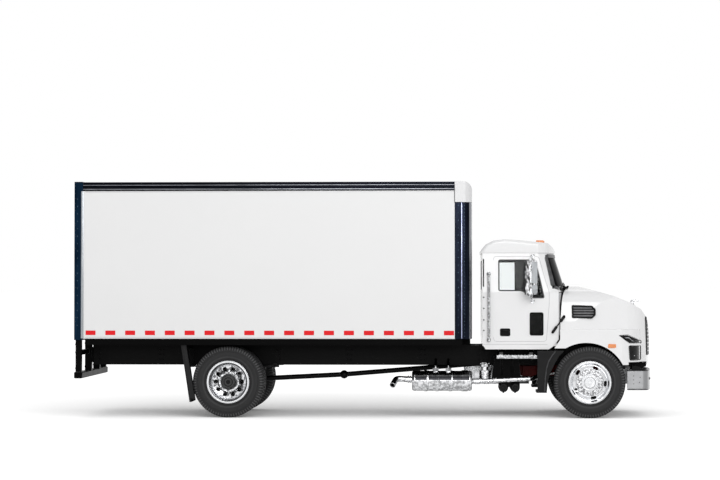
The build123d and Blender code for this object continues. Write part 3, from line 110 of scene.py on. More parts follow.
paper = bpy.data.materials.new("studio_paper")
paper.use_nodes = True
paper.node_tree.nodes.clear()
seen = seen_plain(paper.node_tree)
paper_glow = 0.56
# The glow is cut by ambient occlusion that leans toward -y: a painted shadow on the floor under and behind
# the truck.
leaning = seen.node("ShaderNodeCombineXYZ", None, {0: 0.0, 1: -0.84, 2: 0.54})
painted_floor_shadow = seen.node("ShaderNodeAmbientOcclusion", {"samples": 8}, {"Distance": 0.19, "Normal": leaning}, "AO")
paper_diffuse = seen.node("ShaderNodeBsdfDiffuse", None, {"Color": (0.82, 0.82, 0.82, 1)})
paper_light = seen.node("ShaderNodeEmission", None, {"Strength": seen * painted_floor_shadow ** 1.4 * paper_glow})
seen.node("ShaderNodeOutputMaterial", None, {"Surface": seen.node(
    "ShaderNodeAddShader", None, {0: paper_diffuse, 1: paper_light})})

floor_bm = bmesh.new()
bmesh.ops.create_grid(floor_bm, x_segments=1, y_segments=1, size=40)
floor_mesh = bpy.data.meshes.new("studio_floor")
floor_bm.to_mesh(floor_mesh)
floor_bm.free()
floor_mesh.materials.append(paper)
studio_floor = bpy.data.objects.new("studio_floor", floor_mesh)
bpy.context.collection.objects.link(studio_floor)

for lamp_name, place, size, power in (("soft_lamp_near", (0.3, -1.4, 0.55), 0.9, 10.6),
                                      ("soft_lamp_far", (-0.2, 1.1, 1.2), 0.9, 2.2)):
    lamp = bpy.data.lights.new(lamp_name, "AREA")
    lamp.size, lamp.energy = size, power
    lamp_object = bpy.data.objects.new(lamp_name, lamp)
    lamp_object.location = place
    lamp_object.rotation_euler = (Vector((0, 0, 0.05)) - Vector(place)).to_track_quat("-Z", "Y").to_euler()
    bpy.context.collection.objects.link(lamp_object)

camera = bpy.data.objects.new("camera", bpy.data.cameras.new("camera"))
camera.location = (0.0377, -0.9928, 0.05562)
camera.rotation_euler = (radians(91.30), 0, radians(2.34))
camera.data.lens, camera.data.sensor_width = 110.1, 36
camera.data.clip_start, camera.data.clip_end = 0.01, 100
bpy.context.collection.objects.link(camera)
bpy.context.scene.camera = camera
bpy.context.scene.view_settings.view_transform = "Standard"


# ------------------------------------------------------------------ frame
# Two channel rails with crossmembers between them, moulded in black plastic and dip painted
# with a fine satin grain. Rows of huck bolts hold the crossmembers and the spring hangers.
def finish(name, colour, rough, metal=0.0, mottle=0.06, patch=9.0, spread=0.08, grain=0.35,
           relief=0.004, edge=None, soft=0.12, fixed=None, zones=(), stretch=(1, 1, 1), abrupt=0.2):
    """A material: patches of tone, uneven gloss, a grain in millimetres and a painted edge colour along
    rounded edges: a highlight where lighter, shade where darker.

    Each zone is (mask, colour, rough, metal): where its mask of x, y and z is 1, that finish shows.
    """
    made = bpy.data.materials.new(name)
    made.use_nodes = True
    shader = made.node_tree.nodes["Principled BSDF"]
    tree = Out(made.node_tree)
    place = tree.node("ShaderNodeMapping", {"vector_type": "POINT"}, {
        "Vector": tree.node("ShaderNodeTexCoord", output="Object"), "Scale": (1000, 1000, 1000)})
    drawn = tree.node("ShaderNodeVectorMath", {"operation": "MULTIPLY"}, {0: place, 1: stretch})
    patches = tree.node("ShaderNodeTexNoise", None, {
        "Vector": drawn, "Scale": 1 / patch, "Detail": 4.0, "Roughness": 0.6})
    fine = tree.node("ShaderNodeTexNoise", None, {
        "Vector": place, "Scale": 1 / grain, "Detail": 2.0, "Roughness": 0.5})
    darker = tuple(c * (1 - 2 * mottle) for c in colour)
    tone = patches.ramp(0.5 - abrupt, 0.5 + abrupt).between((*darker, 1), (*colour, 1))
    rounded = tree.node("ShaderNodeBevel", {"samples": 4}, {"Radius": soft / 1000})
    # The edge colour is painted along rounded edges: a painted highlight where it is lighter than the base,
    # painted shade where darker.
    if edge:
        flat = tree.node("ShaderNodeNewGeometry", output="Normal")
        turn = tree.node("ShaderNodeVectorMath", {"operation": "DOT_PRODUCT"}, {0: rounded, 1: flat}, "Value")
        painted_edge_tone = turn.ramp(0.985, 0.80) * patches.ramp(0.42, 0.62)
        tone = painted_edge_tone.between(tone, (*edge, 1))
    bump = tree.node("ShaderNodeBump", None, {
        "Height": fine, "Normal": rounded, "Strength": 1.0, "Distance": relief / 1000})
    gloss = patches.ramp(0.25, 0.75, rough - spread / 2, rough + spread / 2) + fine.ramp(0, 1, -0.02, 0.02)
    sheen = None
    for mask, zone_colour, zone_rough, zone_metal in zones:
        inside = mask(*(tree.node("ShaderNodeSeparateXYZ", None, {0: place}, axis) for axis in "XYZ"))
        zone_tone = patches.ramp(0.3, 0.7).between((*(c * 0.8 for c in zone_colour), 1), (*zone_colour, 1))
        tone = inside.between(tone, zone_tone)
        gloss = gloss + inside * (zone_rough - rough)
        if zone_metal != metal:
            sheen = inside.ramp(0, 1, metal, zone_metal)
    links = {"Base Color": tone, "Roughness": gloss, "Normal": bump}
    if sheen:
        links["Metallic"] = sheen
    shader.inputs["Metallic"].default_value = metal
    for key, value in links.items():
        made.node_tree.links.new(value.socket, shader.inputs[key])
    for key, value in (fixed or {}).items():
        shader.inputs[key].default_value = value
    return made


def paint(material, *nodes):
    """Give these CAD nodes that material."""
    for node in nodes:
        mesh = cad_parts[node].data
        mesh.materials.clear()
        mesh.materials.append(material)


def piece(name, bm, material, body="truck", crisp=35):
    """An object from a mesh worked in millimetres, which rides on a body."""
    bmesh.ops.scale(bm, vec=(0.001, 0.001, 0.001), verts=bm.verts)
    mesh = bpy.data.meshes.new(name)
    bm.to_mesh(mesh)
    bm.free()
    mesh.shade_smooth()
    mesh.set_sharp_from_angle(angle=radians(crisp))
    mesh.materials.append(material)
    made = bpy.data.objects.new(name, mesh)
    bpy.context.collection.objects.link(made)
    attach(made, body)
    return made


def rod(bm, start, end, radius, sides=12, far=None):
    """A round or many-sided bar between two points, the same at both ends or tapered."""
    run = Vector(end) - Vector(start)
    middle = Matrix.Translation((Vector(start) + Vector(end)) / 2)
    turn = run.to_track_quat("Z", "Y").to_matrix().to_4x4()
    bmesh.ops.create_cone(bm, cap_ends=True, segments=sides, radius1=radius,
                          radius2=radius if far is None else far, depth=run.length, matrix=middle @ turn)


def pin(bm, x, y, z, radius, sides=12, far=None):
    """A rod along one axis: that of x, y and z which is given as (start, end)."""
    spans = [place if isinstance(place, tuple) else (place, place) for place in (x, y, z)]
    rod(bm, *zip(*spans), radius, sides, far)


def bar(bm, x, y, z, ease=0.0, turn=None, steps=2, along=None):
    """A box between two corners, its edges eased, or only those along one axis.

    turn is (angle, axis) about its middle.
    """
    middle = Vector([(low + high) / 2 for low, high in (x, y, z)])
    size = [abs(high - low) for low, high in (x, y, z)]
    place = Matrix.Translation(middle)
    if turn:
        place = place @ Matrix.Rotation(radians(turn[0]), 4, turn[1])
    made = bmesh.ops.create_cube(bm, size=1.0)["verts"]
    bmesh.ops.scale(bm, vec=size, verts=made)
    edges = {edge for vert in made for edge in vert.link_edges}
    edges = [edge for edge in edges if along is None
             or abs((edge.verts[0].co - edge.verts[1].co)[along]) > size[along] / 2]
    bmesh.ops.transform(bm, matrix=place, verts=made)
    if ease:
        bmesh.ops.bevel(bm, geom=edges, offset=ease, segments=steps, profile=0.5, affect="EDGES",
                        material=-1)


both_sides = (("left", 1), ("right", -1))
front_axle, rear_axle, axle_z = 98.2, -59.0, 15.5
rail_face = 12.7


def moulding(name, tone, rough, shine, mottle=0.15, **more):
    """Black plastic or rubber: its own tone, and how much its surface shines."""
    return finish(name, (tone, tone, tone * 1.04), rough, mottle=mottle, fixed={"Specular IOR Level": shine},
                  **more)


# Its lighter edge colour is a painted highlight.
frame_black = moulding("frame_black", 0.0022, 0.38, 0.06, edge=(0.02, 0.02, 0.021))
paint(frame_black, "frame_rails", "frame_crossmembers")
huck_bm = bmesh.new()
huck_rows = [(x, z) for x in (-119.0, -91.9, -90.3, -39.9, -38.1, -8.0, -6.4, 24.6, 26.4, 50.6, 52.4)
             for z in (24.6, 26.8, 29.0)]
for side in (1, -1):
    for x, z in huck_rows:
        pin(huck_bm, x, (side * rail_face, side * (rail_face + 0.3)), z, 0.42, sides=10, far=0.3)
    for x in (rear_axle - 19, rear_axle + 19, front_axle - 11.5, front_axle + 11.5):
        for z in (23.7, 26.3):
            pin(huck_bm, x, (side * (rail_face + 0.6), side * (rail_face + 1.0)), z, 0.4, sides=6)
piece("huck_bolts", huck_bm, frame_black)

# ------------------------------------------------------------------ axles and springs
# Forged front beam, cast rear housing, steering knuckles and leaf packs, moulded in black.
# U-bolts clamp each leaf pack to its axle pad, and a bolted cover closes the differential.
# The lighter edge colours of these two are painted highlights.
axle_black = moulding("axle_black", 0.004, 0.48, 0.1, grain=0.5, relief=0.012, edge=(0.03, 0.03, 0.032))
paint(axle_black, "front_axle", "rear_axle", "left_knuckle", "right_knuckle", "tie_rod")
spring_steel = moulding("spring_steel", 0.006, 0.42, 0.12, grain=0.5, relief=0.008, edge=(0.05, 0.05, 0.055))
paint(spring_steel, "leaf_springs")
paint(moulding("shaft_black", 0.003, 0.32, 0.08), "driveshaft")

clamp_bm = bmesh.new()
for x, foot_z, top_z, half_clamp in ((front_axle, 12.6, 17.25, 1.1), (rear_axle, 15.0, 21.3, 1.5)):
    for side in (1, -1):
        for clamp_x in (x - half_clamp, x + half_clamp):
            legs = (side * 13.35, side * 16.45)
            for y in legs:
                pin(clamp_bm, clamp_x, y, (foot_z, top_z), 0.22, sides=10)
                pin(clamp_bm, clamp_x, y, (foot_z + 0.1, foot_z + 0.7), 0.42, sides=6)
            pin(clamp_bm, clamp_x, (legs[0], legs[1]), top_z, 0.22, sides=10)
piece("spring_clamps", clamp_bm, spring_steel)

cover_bm = bmesh.new()
pin(cover_bm, (rear_axle - 5.0, rear_axle - 4.2), 0, axle_z, 3.0, sides=32, far=3.4)
pin(cover_bm, (rear_axle - 5.4, rear_axle - 5.0), 0, axle_z, 0.8, sides=6)
for step in range(10):
    y, z = 2.6 * cos(step * pi / 5), axle_z + 2.6 * sin(step * pi / 5)
    pin(cover_bm, (rear_axle - 5.3, rear_axle - 4.9), y, z, 0.3, sides=6)
piece("differential_cover", cover_bm, axle_black)

# ------------------------------------------------------------------ tyres
# Soft black vinyl tyres with ring-marked sidewalls, grooved treads and notched shoulders,
# each moulded in one piece and pushed over its rim.
weld_gap = 0.0005                       # corners nearer than this are joined


def lathe(bm, rows, x, steps):
    """Turn (radius, y) rows about an axle's line, as a ring unless they start on it."""
    already = set(bm.faces)
    verts = [bm.verts.new((x + radius, y, axle_z)) for radius, y in rows]
    pairs = zip(verts, verts[1:] + verts[:1]) if rows[0][0] > 0 else zip(verts, verts[1:])
    edges = [bm.edges.new(pair) for pair in pairs]
    bmesh.ops.spin(bm, geom=verts + edges, cent=(x, 0, axle_z), axis=(0, 1, 0), angle=2 * pi,
                   steps=steps, use_merge=True)
    bmesh.ops.remove_doubles(bm, verts=bm.verts, dist=weld_gap)
    made = [face for face in bm.faces if face not in already]
    bmesh.ops.recalc_face_normals(bm, faces=made)
    return made


tyre_width, twin_spacing, notch_depth = 8.2, 9.8, 0.3
front_face, rear_face = 35.3, 36.0      # outer faces of the tyres, from the middle of the truck
tread_pitches = 80
sidewall = [(8.67, 1.0), (9.35, 1.0), (9.5, 0.72), (9.95, 0.5), (10.05, 0.62), (10.25, 0.6), (10.35, 0.34),
            (11.3, 0.08), (12.4, 0.0), (13.0, 0.06), (13.08, 0.2), (13.28, 0.22), (13.36, 0.12),
            (13.95, 0.26), (14.02, 0.42), (14.2, 0.46), (14.32, 0.36), (14.8, 0.62), (15.2, 0.95),
            (15.42, 1.4), (15.5, 1.9)]
tread_grooves = (2.55, 3.6, 4.6, 5.65)  # middles of the grooves, from the tyre's face
groove_half, groove_floor = 0.17, 15.0
tread = [(radius, groove + offset) for groove in tread_grooves
         for radius, offset in ((15.5, -groove_half), (groove_floor, -groove_half * 0.7),
                                (groove_floor, groove_half * 0.7), (15.5, groove_half))]
tyre_rows = sidewall + tread + [(radius, tyre_width - depth) for radius, depth in reversed(sidewall)]


def from_axle(x, z, axle_x):
    """How far a point lies from an axle's line, and the angle about it."""
    across, up = x - axle_x, z - axle_z
    return (across ** 2 + up ** 2) ** 0.5, up.maths("ARCTAN2", up, across)


def blocks(axle_x):
    """A mask of the lighter faces of the shoulder blocks, and of a lighter line round the sidewall."""
    def mask(x, y, z):
        reach, turn = from_axle(x, z, axle_x)
        wave = turn.maths("SINE", turn * tread_pitches)
        line = (reach > 10.4) * (reach < 11.2)
        return (reach > 13.9) * (reach < 15.44) * (wave > 0.2) + line * 0.25
    return mask


tyre_rubber = [moulding(f"{name}_tyre_rubber", 0.017, 0.68, 0.30, 0.18, patch=5.0, grain=0.25, relief=0.01,
                        zones=[(blocks(axle_x), (0.075, 0.075, 0.077), 0.6, 0.0)])
               for name, axle_x in (("front", front_axle), ("rear", rear_axle))]


def tyre(bm, side, face, x):
    """One tyre, its shoulder notches and sipes sunk into every second and fourth step."""
    made = lathe(bm, [(radius, side * (face - depth)) for radius, depth in tyre_rows], x,
                 2 * tread_pitches)
    notches, sipes = [], []
    for shell_face in made:
        middle = shell_face.calc_center_median()
        reach = Vector((middle.x - x, middle.z - axle_z))
        depth = side * (side * face - middle.y)
        step = int(reach.angle_signed(Vector((1, 0))) / (2 * pi) * 2 * tread_pitches + 4 * tread_pitches)
        if 14.85 < reach.length < 15.48 and not 1.85 < depth < tyre_width - 1.85 and step % 2:
            notches.append(shell_face)
        elif reach.length > 15.45 and 2.8 < depth < tyre_width - 2.8 and step % 4 == 0:
            sipes.append(shell_face)
    for faces in (notches, sipes):
        bmesh.ops.inset_region(bm, faces=faces, thickness=0.06, depth=-notch_depth, use_even_offset=True,
                               use_boundary=True)


for name, side in both_sides:
    tyre_bm = bmesh.new()
    tyre(tyre_bm, side, front_face, front_axle)
    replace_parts(piece(f"front_{name}_tread", tyre_bm, tyre_rubber[0], f"front_{name}_wheel", 28),
                f"front_{name}_tyre")
    tyre_bm = bmesh.new()
    tyre(tyre_bm, side, rear_face, rear_axle)
    tyre(tyre_bm, side, rear_face - twin_spacing, rear_axle)
    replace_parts(piece(f"rear_{name}_treads", tyre_bm, tyre_rubber[1], f"rear_{name}_wheels", 28),
                f"rear_{name}_tyres")

# ------------------------------------------------------------------ wheels
# Plated plastic rims. The front discs have five hand holes and ten nuts round a hub cover;
# the rear dishes have ten holes and ten nuts round a black hub with a ring of bolts.
def plating(name, tone, rough=0.13, mottle=0.42, patch=1.2, abrupt=0.1, **more):
    """Vacuum plating over plastic: bright metal whose darker tone patches paint reflections, a little uneven
    in surface.
    """
    return finish(name, (tone, tone * 1.01, tone * 1.03), rough, 1.0, mottle=mottle, patch=patch,
                  abrupt=abrupt, spread=0.1, grain=0.9, relief=0.02, **more)


fleck_size = 0.8


def painted_reflection_flecks(x, y, z):
    """Small painted dark reflections, where the plating is broken up by bolts and edges."""
    place = x.node("ShaderNodeCombineXYZ", None, {0: x, 1: y, 2: z})
    speckle = x.node("ShaderNodeTexNoise", None, {"Vector": place, "Scale": 1 / fleck_size, "Detail": 2.0})
    return speckle.ramp(0.46, 0.54)


def hub_and_drum(x, y, z):
    """1 on the rear hub and brake drum, inside the dish."""
    reach = from_axle(x, z, rear_axle)[0]
    return reach.maths("MAXIMUM", reach < 3.53, y.maths("ABSOLUTE", y) < 21.9)


def nut_circle(x, y, z):
    """Painted dark reflections round the front nuts, and painted shade on the step at the edge of the hub
    cover.
    """
    reach = from_axle(x, z, front_axle)[0]
    return (reach > 3.7) * (reach < 5.7) * painted_reflection_flecks(x, y, z) * 0.8 + (reach > 5.72) * (reach < 5.9) * 0.7


def dish(x, y, z):
    """Painted dark reflections in the rear dish, and a dark ring at the joint inside its lip."""
    reach = from_axle(x, z, rear_axle)[0]
    return (reach > 3.5) * (reach < 7.3) * painted_reflection_flecks(x, y, z) * 0.85 + (reach > 7.5) * (reach < 7.95) * 0.8


# The dark zone paints reflections round the nuts and shade on the hub cover's step.
front_rim = plating("front_rim", 0.74, mottle=0.1, patch=2.0, abrupt=0.2,
                    zones=[(nut_circle, (0.10, 0.10, 0.105), 0.2, 1.0)])
paint(front_rim, "front_left_wheel", "front_right_wheel")
# The dark dish zone paints reflections in the dish and darkens the joint inside its lip; the hub and drum are
# black.
rear_rim = plating("rear_rim", 0.80, mottle=0.08, patch=2.0, abrupt=0.2,
                   zones=[(dish, (0.06, 0.06, 0.065), 0.2, 1.0),
                          (hub_and_drum, (0.006, 0.006, 0.0065), 0.34, 0.0)])
paint(rear_rim, "rear_left_wheels", "rear_right_wheels")
# Its lighter edge colour is a painted highlight.
hub_black = moulding("hub_black", 0.005, 0.32, 0.12, edge=(0.06, 0.06, 0.062))


def nut_ring(bm, x, side, depth, radius, height, size, count=10, first=0.0, face=front_face, stud=True):
    """Nuts on a circle about an axle, standing out from depth below the tyre's face."""
    for step in range(count):
        angle = radians(first + 360 * step / count)
        across, up = x + radius * cos(angle), axle_z + radius * sin(angle)
        foot = side * (face - depth)
        top = foot + side * height
        pin(bm, across, (foot, top), up, size, sides=6, far=size * 0.9)
        if stud:
            pin(bm, across, (top, top + side * height * 0.4), up, size * 0.45, sides=8, far=size * 0.35)


def rings(bm, profiles, side, face, x, steps):
    """Rings turned about an axle, each from rows of (radius, depth below the tyre's face)."""
    for rows in profiles:
        lathe(bm, [(radius, side * (face - depth)) for radius, depth in rows], x, steps)


rim_rings = [[(5.75, 1.0), (5.85, 0.66), (6.05, 0.66), (6.2, 1.02)],
             [(3.1, 0.92), (3.2, 0.6), (3.6, 0.6), (3.75, 0.95)],
             [(0.0, -0.3), (0.7, -0.3), (0.85, -0.15), (0.0, -0.1)],
             [(8.45, 0.5), (8.55, 0.3), (8.95, 0.3), (9.1, 0.5)]]
dish_rings = [[(7.35, 4.42), (7.45, 4.0), (7.7, 4.0), (7.85, 4.7)],
              [(8.4, 0.5), (8.5, 0.28), (8.95, 0.28), (9.1, 0.5)]]
hub_rings = [[(0.0, 1.15), (0.8, 1.15), (0.95, 1.3), (0.95, 1.55), (0.0, 1.55)],
             [(1.6, 1.52), (1.7, 1.3), (1.95, 1.3), (2.05, 1.52)]]
for name, side in both_sides:
    rim_bm = bmesh.new()
    nut_ring(rim_bm, front_axle, side, 0.98, 4.75, 0.55, 0.52, first=12)
    nut_ring(rim_bm, front_axle, side, -0.15, 1.65, 0.1, 0.2, count=8, stud=False)
    rings(rim_bm, rim_rings, side, front_face, front_axle, 64)
    rod(rim_bm, (front_axle + 7.4, side * (front_face - 1.6), axle_z - 2.2),
        (front_axle + 7.1, side * (front_face - 0.4), axle_z - 2.1), 0.2)
    piece(f"front_{name}_nuts", rim_bm, front_rim, f"front_{name}_wheel")

    dish_bm = bmesh.new()
    nut_ring(dish_bm, rear_axle, side, 5.15, 4.35, 0.8, 0.5, first=18, face=rear_face)
    rings(dish_bm, dish_rings, side, rear_face, rear_axle, 64)
    rod(dish_bm, (rear_axle - 7.2, side * (rear_face - 4.3), axle_z + 1.6),
        (rear_axle - 6.9, side * (rear_face - 2.4), axle_z + 1.5), 0.2)
    piece(f"rear_{name}_nuts", dish_bm, rear_rim, f"rear_{name}_wheels")

    hub_bm = bmesh.new()
    nut_ring(hub_bm, rear_axle, side, 1.9, 2.75, 0.35, 0.3, count=8, first=22.5, face=rear_face, stud=False)
    rings(hub_bm, hub_rings, side, rear_face, rear_axle, 48)
    piece(f"rear_{name}_hub_bolts", hub_bm, hub_black, f"rear_{name}_wheels")

# ------------------------------------------------------------------ engine and gearbox
# Engine and gearbox in red-painted castings, with a black fan, belt and radiator hoses
# pressed on; the radiator is a black core in its frame, on the bearer before the rails.
# Its lighter edge colour is a painted highlight.
engine_red = finish("engine_red", (0.11, 0.003, 0.002), 0.42, mottle=0.16, patch=3.0, grain=0.5, relief=0.02,
                    edge=(0.22, 0.012, 0.008), fixed={"Specular IOR Level": 0.1})
paint(engine_red, "engine", "transmission")
core_black = moulding("core_black", 0.004, 0.5, 0.08, 0.2, patch=0.8, grain=0.3, relief=0.03)
paint(core_black, "radiator")
hose_rubber = moulding("hose_rubber", 0.005, 0.55, 0.1, grain=0.3, relief=0.01)

casting_bm = bmesh.new()
for y in (-4.2, 4.2):
    for x in (88.4, 92.6, 96.8, 101.0, 103.6):
        pin(casting_bm, x, y, (44.9, 45.4), 0.45, sides=6)
for x in (89.0, 93.4, 97.8, 102.2):
    bar(casting_bm, (x - 0.5, x + 0.5), (-5.7, 5.7), (41.2, 45.2), 0.2)
for x in (88.0, 92.0, 96.0, 100.0, 104.0):
    rod(casting_bm, (x, 6.9, 36.5), (x, 8.6, 37.4), 0.7)
for x in (64.0, 67.5, 71.0, 78.2, 81.6):
    bar(casting_bm, (x - 0.3, x + 0.3), (-6.35, 6.35), (17.3, 29.2), 0.1)
for x in (71.0, 72.8, 74.6):
    for y in (-9.6, 9.6):
        pin(casting_bm, x, (y * 0.96, y), 20.2, 0.35, sides=6)
piece("casting_ribs", casting_bm, engine_red)

fan_z = 34.0
fan_bm = bmesh.new()
pin(fan_bm, (110.3, 111.3), 0, fan_z, 1.3, sides=24, far=1.0)
for step in range(7):
    angle = 2 * pi * step / 7
    middle = Vector((110.7, 3.6 * cos(angle), fan_z + 3.6 * sin(angle)))
    blade = bmesh.ops.create_cube(fan_bm, size=1.0)["verts"]
    bmesh.ops.scale(fan_bm, vec=(0.16, 1.7, 4.6), verts=blade)
    bmesh.ops.rotate(fan_bm, cent=(0, 0, 0), matrix=Matrix.Rotation(radians(28), 3, "Z"), verts=blade)
    bmesh.ops.rotate(fan_bm, cent=(0, 0, 0), matrix=Matrix.Rotation(angle - pi / 2, 3, "X"), verts=blade)
    bmesh.ops.translate(fan_bm, vec=middle, verts=blade)
pin(fan_bm, (108.9, 109.1), 0, 27.0, 3.75, sides=32)
piece("cooling_fan", fan_bm, hose_rubber)


def hose(name, radius, *points):
    """A bent tube along a smooth spline through a few points, made a mesh."""
    curve = bpy.data.curves.new(name, "CURVE")
    curve.dimensions, curve.bevel_depth, curve.bevel_resolution = "3D", radius / 1000, 4
    curve.resolution_u, curve.use_fill_caps = 8, True
    spline = curve.splines.new("NURBS")
    spline.points.add(len(points) - 1)
    for point, place in zip(spline.points, points):
        point.co = (*(c / 1000 for c in place), 1)
    spline.order_u, spline.use_endpoint_u = 3, True
    shaped = bpy.data.objects.new(name, curve)
    mesh = bpy.data.meshes.new_from_object(shaped)
    bpy.data.objects.remove(shaped)
    bm = bmesh.new()
    bm.from_mesh(mesh)
    bmesh.ops.scale(bm, vec=(1000, 1000, 1000), verts=bm.verts)
    bmesh.ops.remove_doubles(bm, verts=bm.verts, dist=weld_gap)
    bmesh.ops.recalc_face_normals(bm, faces=bm.faces)
    piece(name, bm, hose_rubber)


hose("radiator_hose", 0.85,
     (102.0, -5.0, 44.4), (105.5, -7.5, 45.6), (108.6, -9.6, 43.2), (112.6, -10.8, 40.8))
hose("return_hose", 0.85,
     (100.0, 7.0, 24.4), (105.0, 8.6, 24.0), (109.0, 10.6, 26.0), (112.8, 11.4, 29.0))
hose("intake_pipe", 1.1,
     (94.0, -8.9, 38.4), (98.0, -10.4, 39.8), (100.0, -8.4, 42.0), (99.4, -5.2, 43.0))
core_bm = bmesh.new()
for step in range(22):
    z = 27.4 + step * 0.62
    bar(core_bm, (111.2, 111.45), (-13.6, 13.6), (z, z + 0.28))
bar(core_bm, (111.0, 111.6), (-14.6, -13.6), (26.4, 41.6), 0.15)
bar(core_bm, (111.0, 111.6), (13.6, 14.6), (26.4, 41.6), 0.15)
piece("radiator_core", core_bm, core_black)

# ------------------------------------------------------------------ exhaust
# A plated muffler with pressed bands hangs beside the frame on two saddle brackets. Its inlet
# pipe has a flexible ribbed joint, and a clamp holds the short curved tail pipe.
def painted_top_reflection(x, y, z):
    """1 on the upper side of the muffler and its pipes, painted dark as the reflection of the frame and box
    above.
    """
    return z.ramp(16.0, 16.5) - z.ramp(17.8, 18.4, 0.0, 0.3)


# The dark zone on top paints the reflection of the dark frame above the muffler.
paint(plating("muffler_plating", 0.80, rough=0.16, mottle=0.3, patch=1.4,
              zones=[(painted_top_reflection, (0.02, 0.02, 0.022), 0.22, 1.0)]), "muffler")
pipe_plating = plating("pipe_plating", 0.82, rough=0.15, mottle=0.36, patch=1.0)
paint(pipe_plating, "exhaust_pipes")
muffler_y, muffler_z = -27.0, 15.9

seam_bm = bmesh.new()
for x, radius in ((21.35, 4.05), (22.3, 4.5), (46.3, 4.5), (46.95, 4.05)):
    pin(seam_bm, (x - 0.16, x + 0.16), muffler_y, muffler_z, radius, sides=48)
for x in (31.4, 37.0):
    for y in (-28.0, -26.0):
        pin(seam_bm, x, y, (21.2, 22.0), 0.38, sides=6)
        pin(seam_bm, x, y, (22.0, 22.5), 0.18, sides=8)
    bar(seam_bm, (x - 0.9, x + 0.9), (-29.6, -24.4), (19.4, 20.1), 0.15)
for x in (27.9, 32.3, 38.4, 44.4):
    pin(seam_bm, (x - 0.35, x + 0.35), muffler_y, muffler_z, 4.52, sides=48)
    for way in (-1, 1):
        pin(seam_bm, (x + way * 0.35, x + way * 0.6), muffler_y, muffler_z, 4.52, sides=48, far=4.3)
piece("muffler_seams", seam_bm, pipe_plating)

joint_bm = bmesh.new()
for step in range(7):
    x = 49.6 + step * 0.75
    pin(joint_bm, (x, x + 0.45), muffler_y, muffler_z - 0.2, 1.32, sides=24)
for x, z in ((19.2, 16.5), (20.1, 16.45), (56.6, 16.03), (57.4, 16.06)):
    pin(joint_bm, (x, x + 0.5), muffler_y, z, 1.62, sides=24)
piece("exhaust_joints", joint_bm, pipe_plating)

# ------------------------------------------------------------------ tanks, battery box, steps
# Black moulded battery box and air tanks hang from the right rail beside a plated air dryer;
# a plated fuel tank hangs on the left in two straps. Plated steps are clipped under the cab.
# Its light edge colour is a painted highlight round the box's edges.
box_black = moulding("box_black", 0.0015, 0.30, 0.03, patch=4.0, edge=(0.14, 0.14, 0.145), soft=0.2)
paint(box_black, "battery_box")
tank_black = moulding("tank_black", 0.004, 0.36, 0.12)
paint(tank_black, "air_tanks")
dryer_plating = plating("dryer_plating", 0.75, rough=0.2, mottle=0.4, patch=1.1)
paint(dryer_plating, "air_dryer")
tank_plating = plating("tank_plating", 0.78, rough=0.16, mottle=0.12, patch=6.0, abrupt=0.2)
paint(tank_plating, "fuel_tank")
step_plating = plating("step_plating", 0.5, rough=0.2, mottle=0.3, patch=0.8,
                       zones=[(lambda x, y, z: z > 27.4, (0.004, 0.004, 0.0045), 0.35, 0.0)])
paint(step_plating, "cab_steps")

lid_bm = bmesh.new()
bar(lid_bm, (56.8, 68.0), (-25.85, -12.9), (25.3, 26.5), 0.25)
for x in (60.2, 64.8):
    bar(lid_bm, (x - 0.6, x + 0.6), (-25.95, -25.5), (18.4, 26.2), 0.12)
for x in (57.2, 61.0, 64.8, 68.6):
    bar(lid_bm, (x, x + 2.8), (-25.85, -25.5), (15.4, 17.2), 0.12)
piece("battery_lid", lid_bm, box_black)

dryer_x, dryer_y = 52.9, -24.5
band_bm = bmesh.new()
for z in (17.4, 18.5, 19.6):
    pin(band_bm, dryer_x, dryer_y, (z, z + 0.4), 2.72, sides=32)
pin(band_bm, dryer_x, dryer_y, (23.1, 23.9), 0.9, sides=6)
for step in range(6):
    x, y = dryer_x + 1.7 * cos(step * pi / 3), dryer_y + 1.7 * sin(step * pi / 3)
    pin(band_bm, x, y, (23.1, 23.5), 0.28, sides=6)
piece("dryer_bands", band_bm, dryer_plating)

drain_bm = bmesh.new()
for x in (61.1, 66.2):
    pin(drain_bm, x, (-26.0, -26.4), 12.85, 0.9, sides=24, far=0.7)
    for y in (-22.0, -12.0):
        pin(drain_bm, x, y, (10.95, 10.4), 0.35, sides=8)
        pin(drain_bm, x, (y - 0.5, y + 0.5), 12.85, 2.12, sides=32)
piece("tank_drains", drain_bm, tank_black)

strap_bm = bmesh.new()
for x in (50.0, 68.0):
    bar(strap_bm, (x - 1.1, x + 1.1), (19.8, 33.2), (12.2, 25.2), 3.5, along=0, steps=6)
    pin(strap_bm, x, (20.2, 18.6), 25.0, 0.35, sides=8)
for radius, height in ((1.75, 0.4), (1.5, 1.0)):
    pin(strap_bm, 47.5, 24.0, (26.4, 26.6 + height), radius, sides=32)
bar(strap_bm, (46.2, 48.8), (23.75, 24.25), (27.4, 27.9), 0.12)
piece("fuel_straps", strap_bm, tank_plating)

tread_bm = bmesh.new()
for side in (1, -1):
    for step in range(24):
        x = 58.2 + step * 0.72
        bar(tread_bm, (x, x + 0.34), (side * 32.9, side * 33.15), (25.9, 27.1), 0.08)
    for step in range(12):
        x = 58.6 + step * 1.42
        bar(tread_bm, (x, x + 0.6), (side * 27.9, side * 32.6), (27.1, 27.4), 0.1)
piece("step_treads", tread_bm, step_plating)

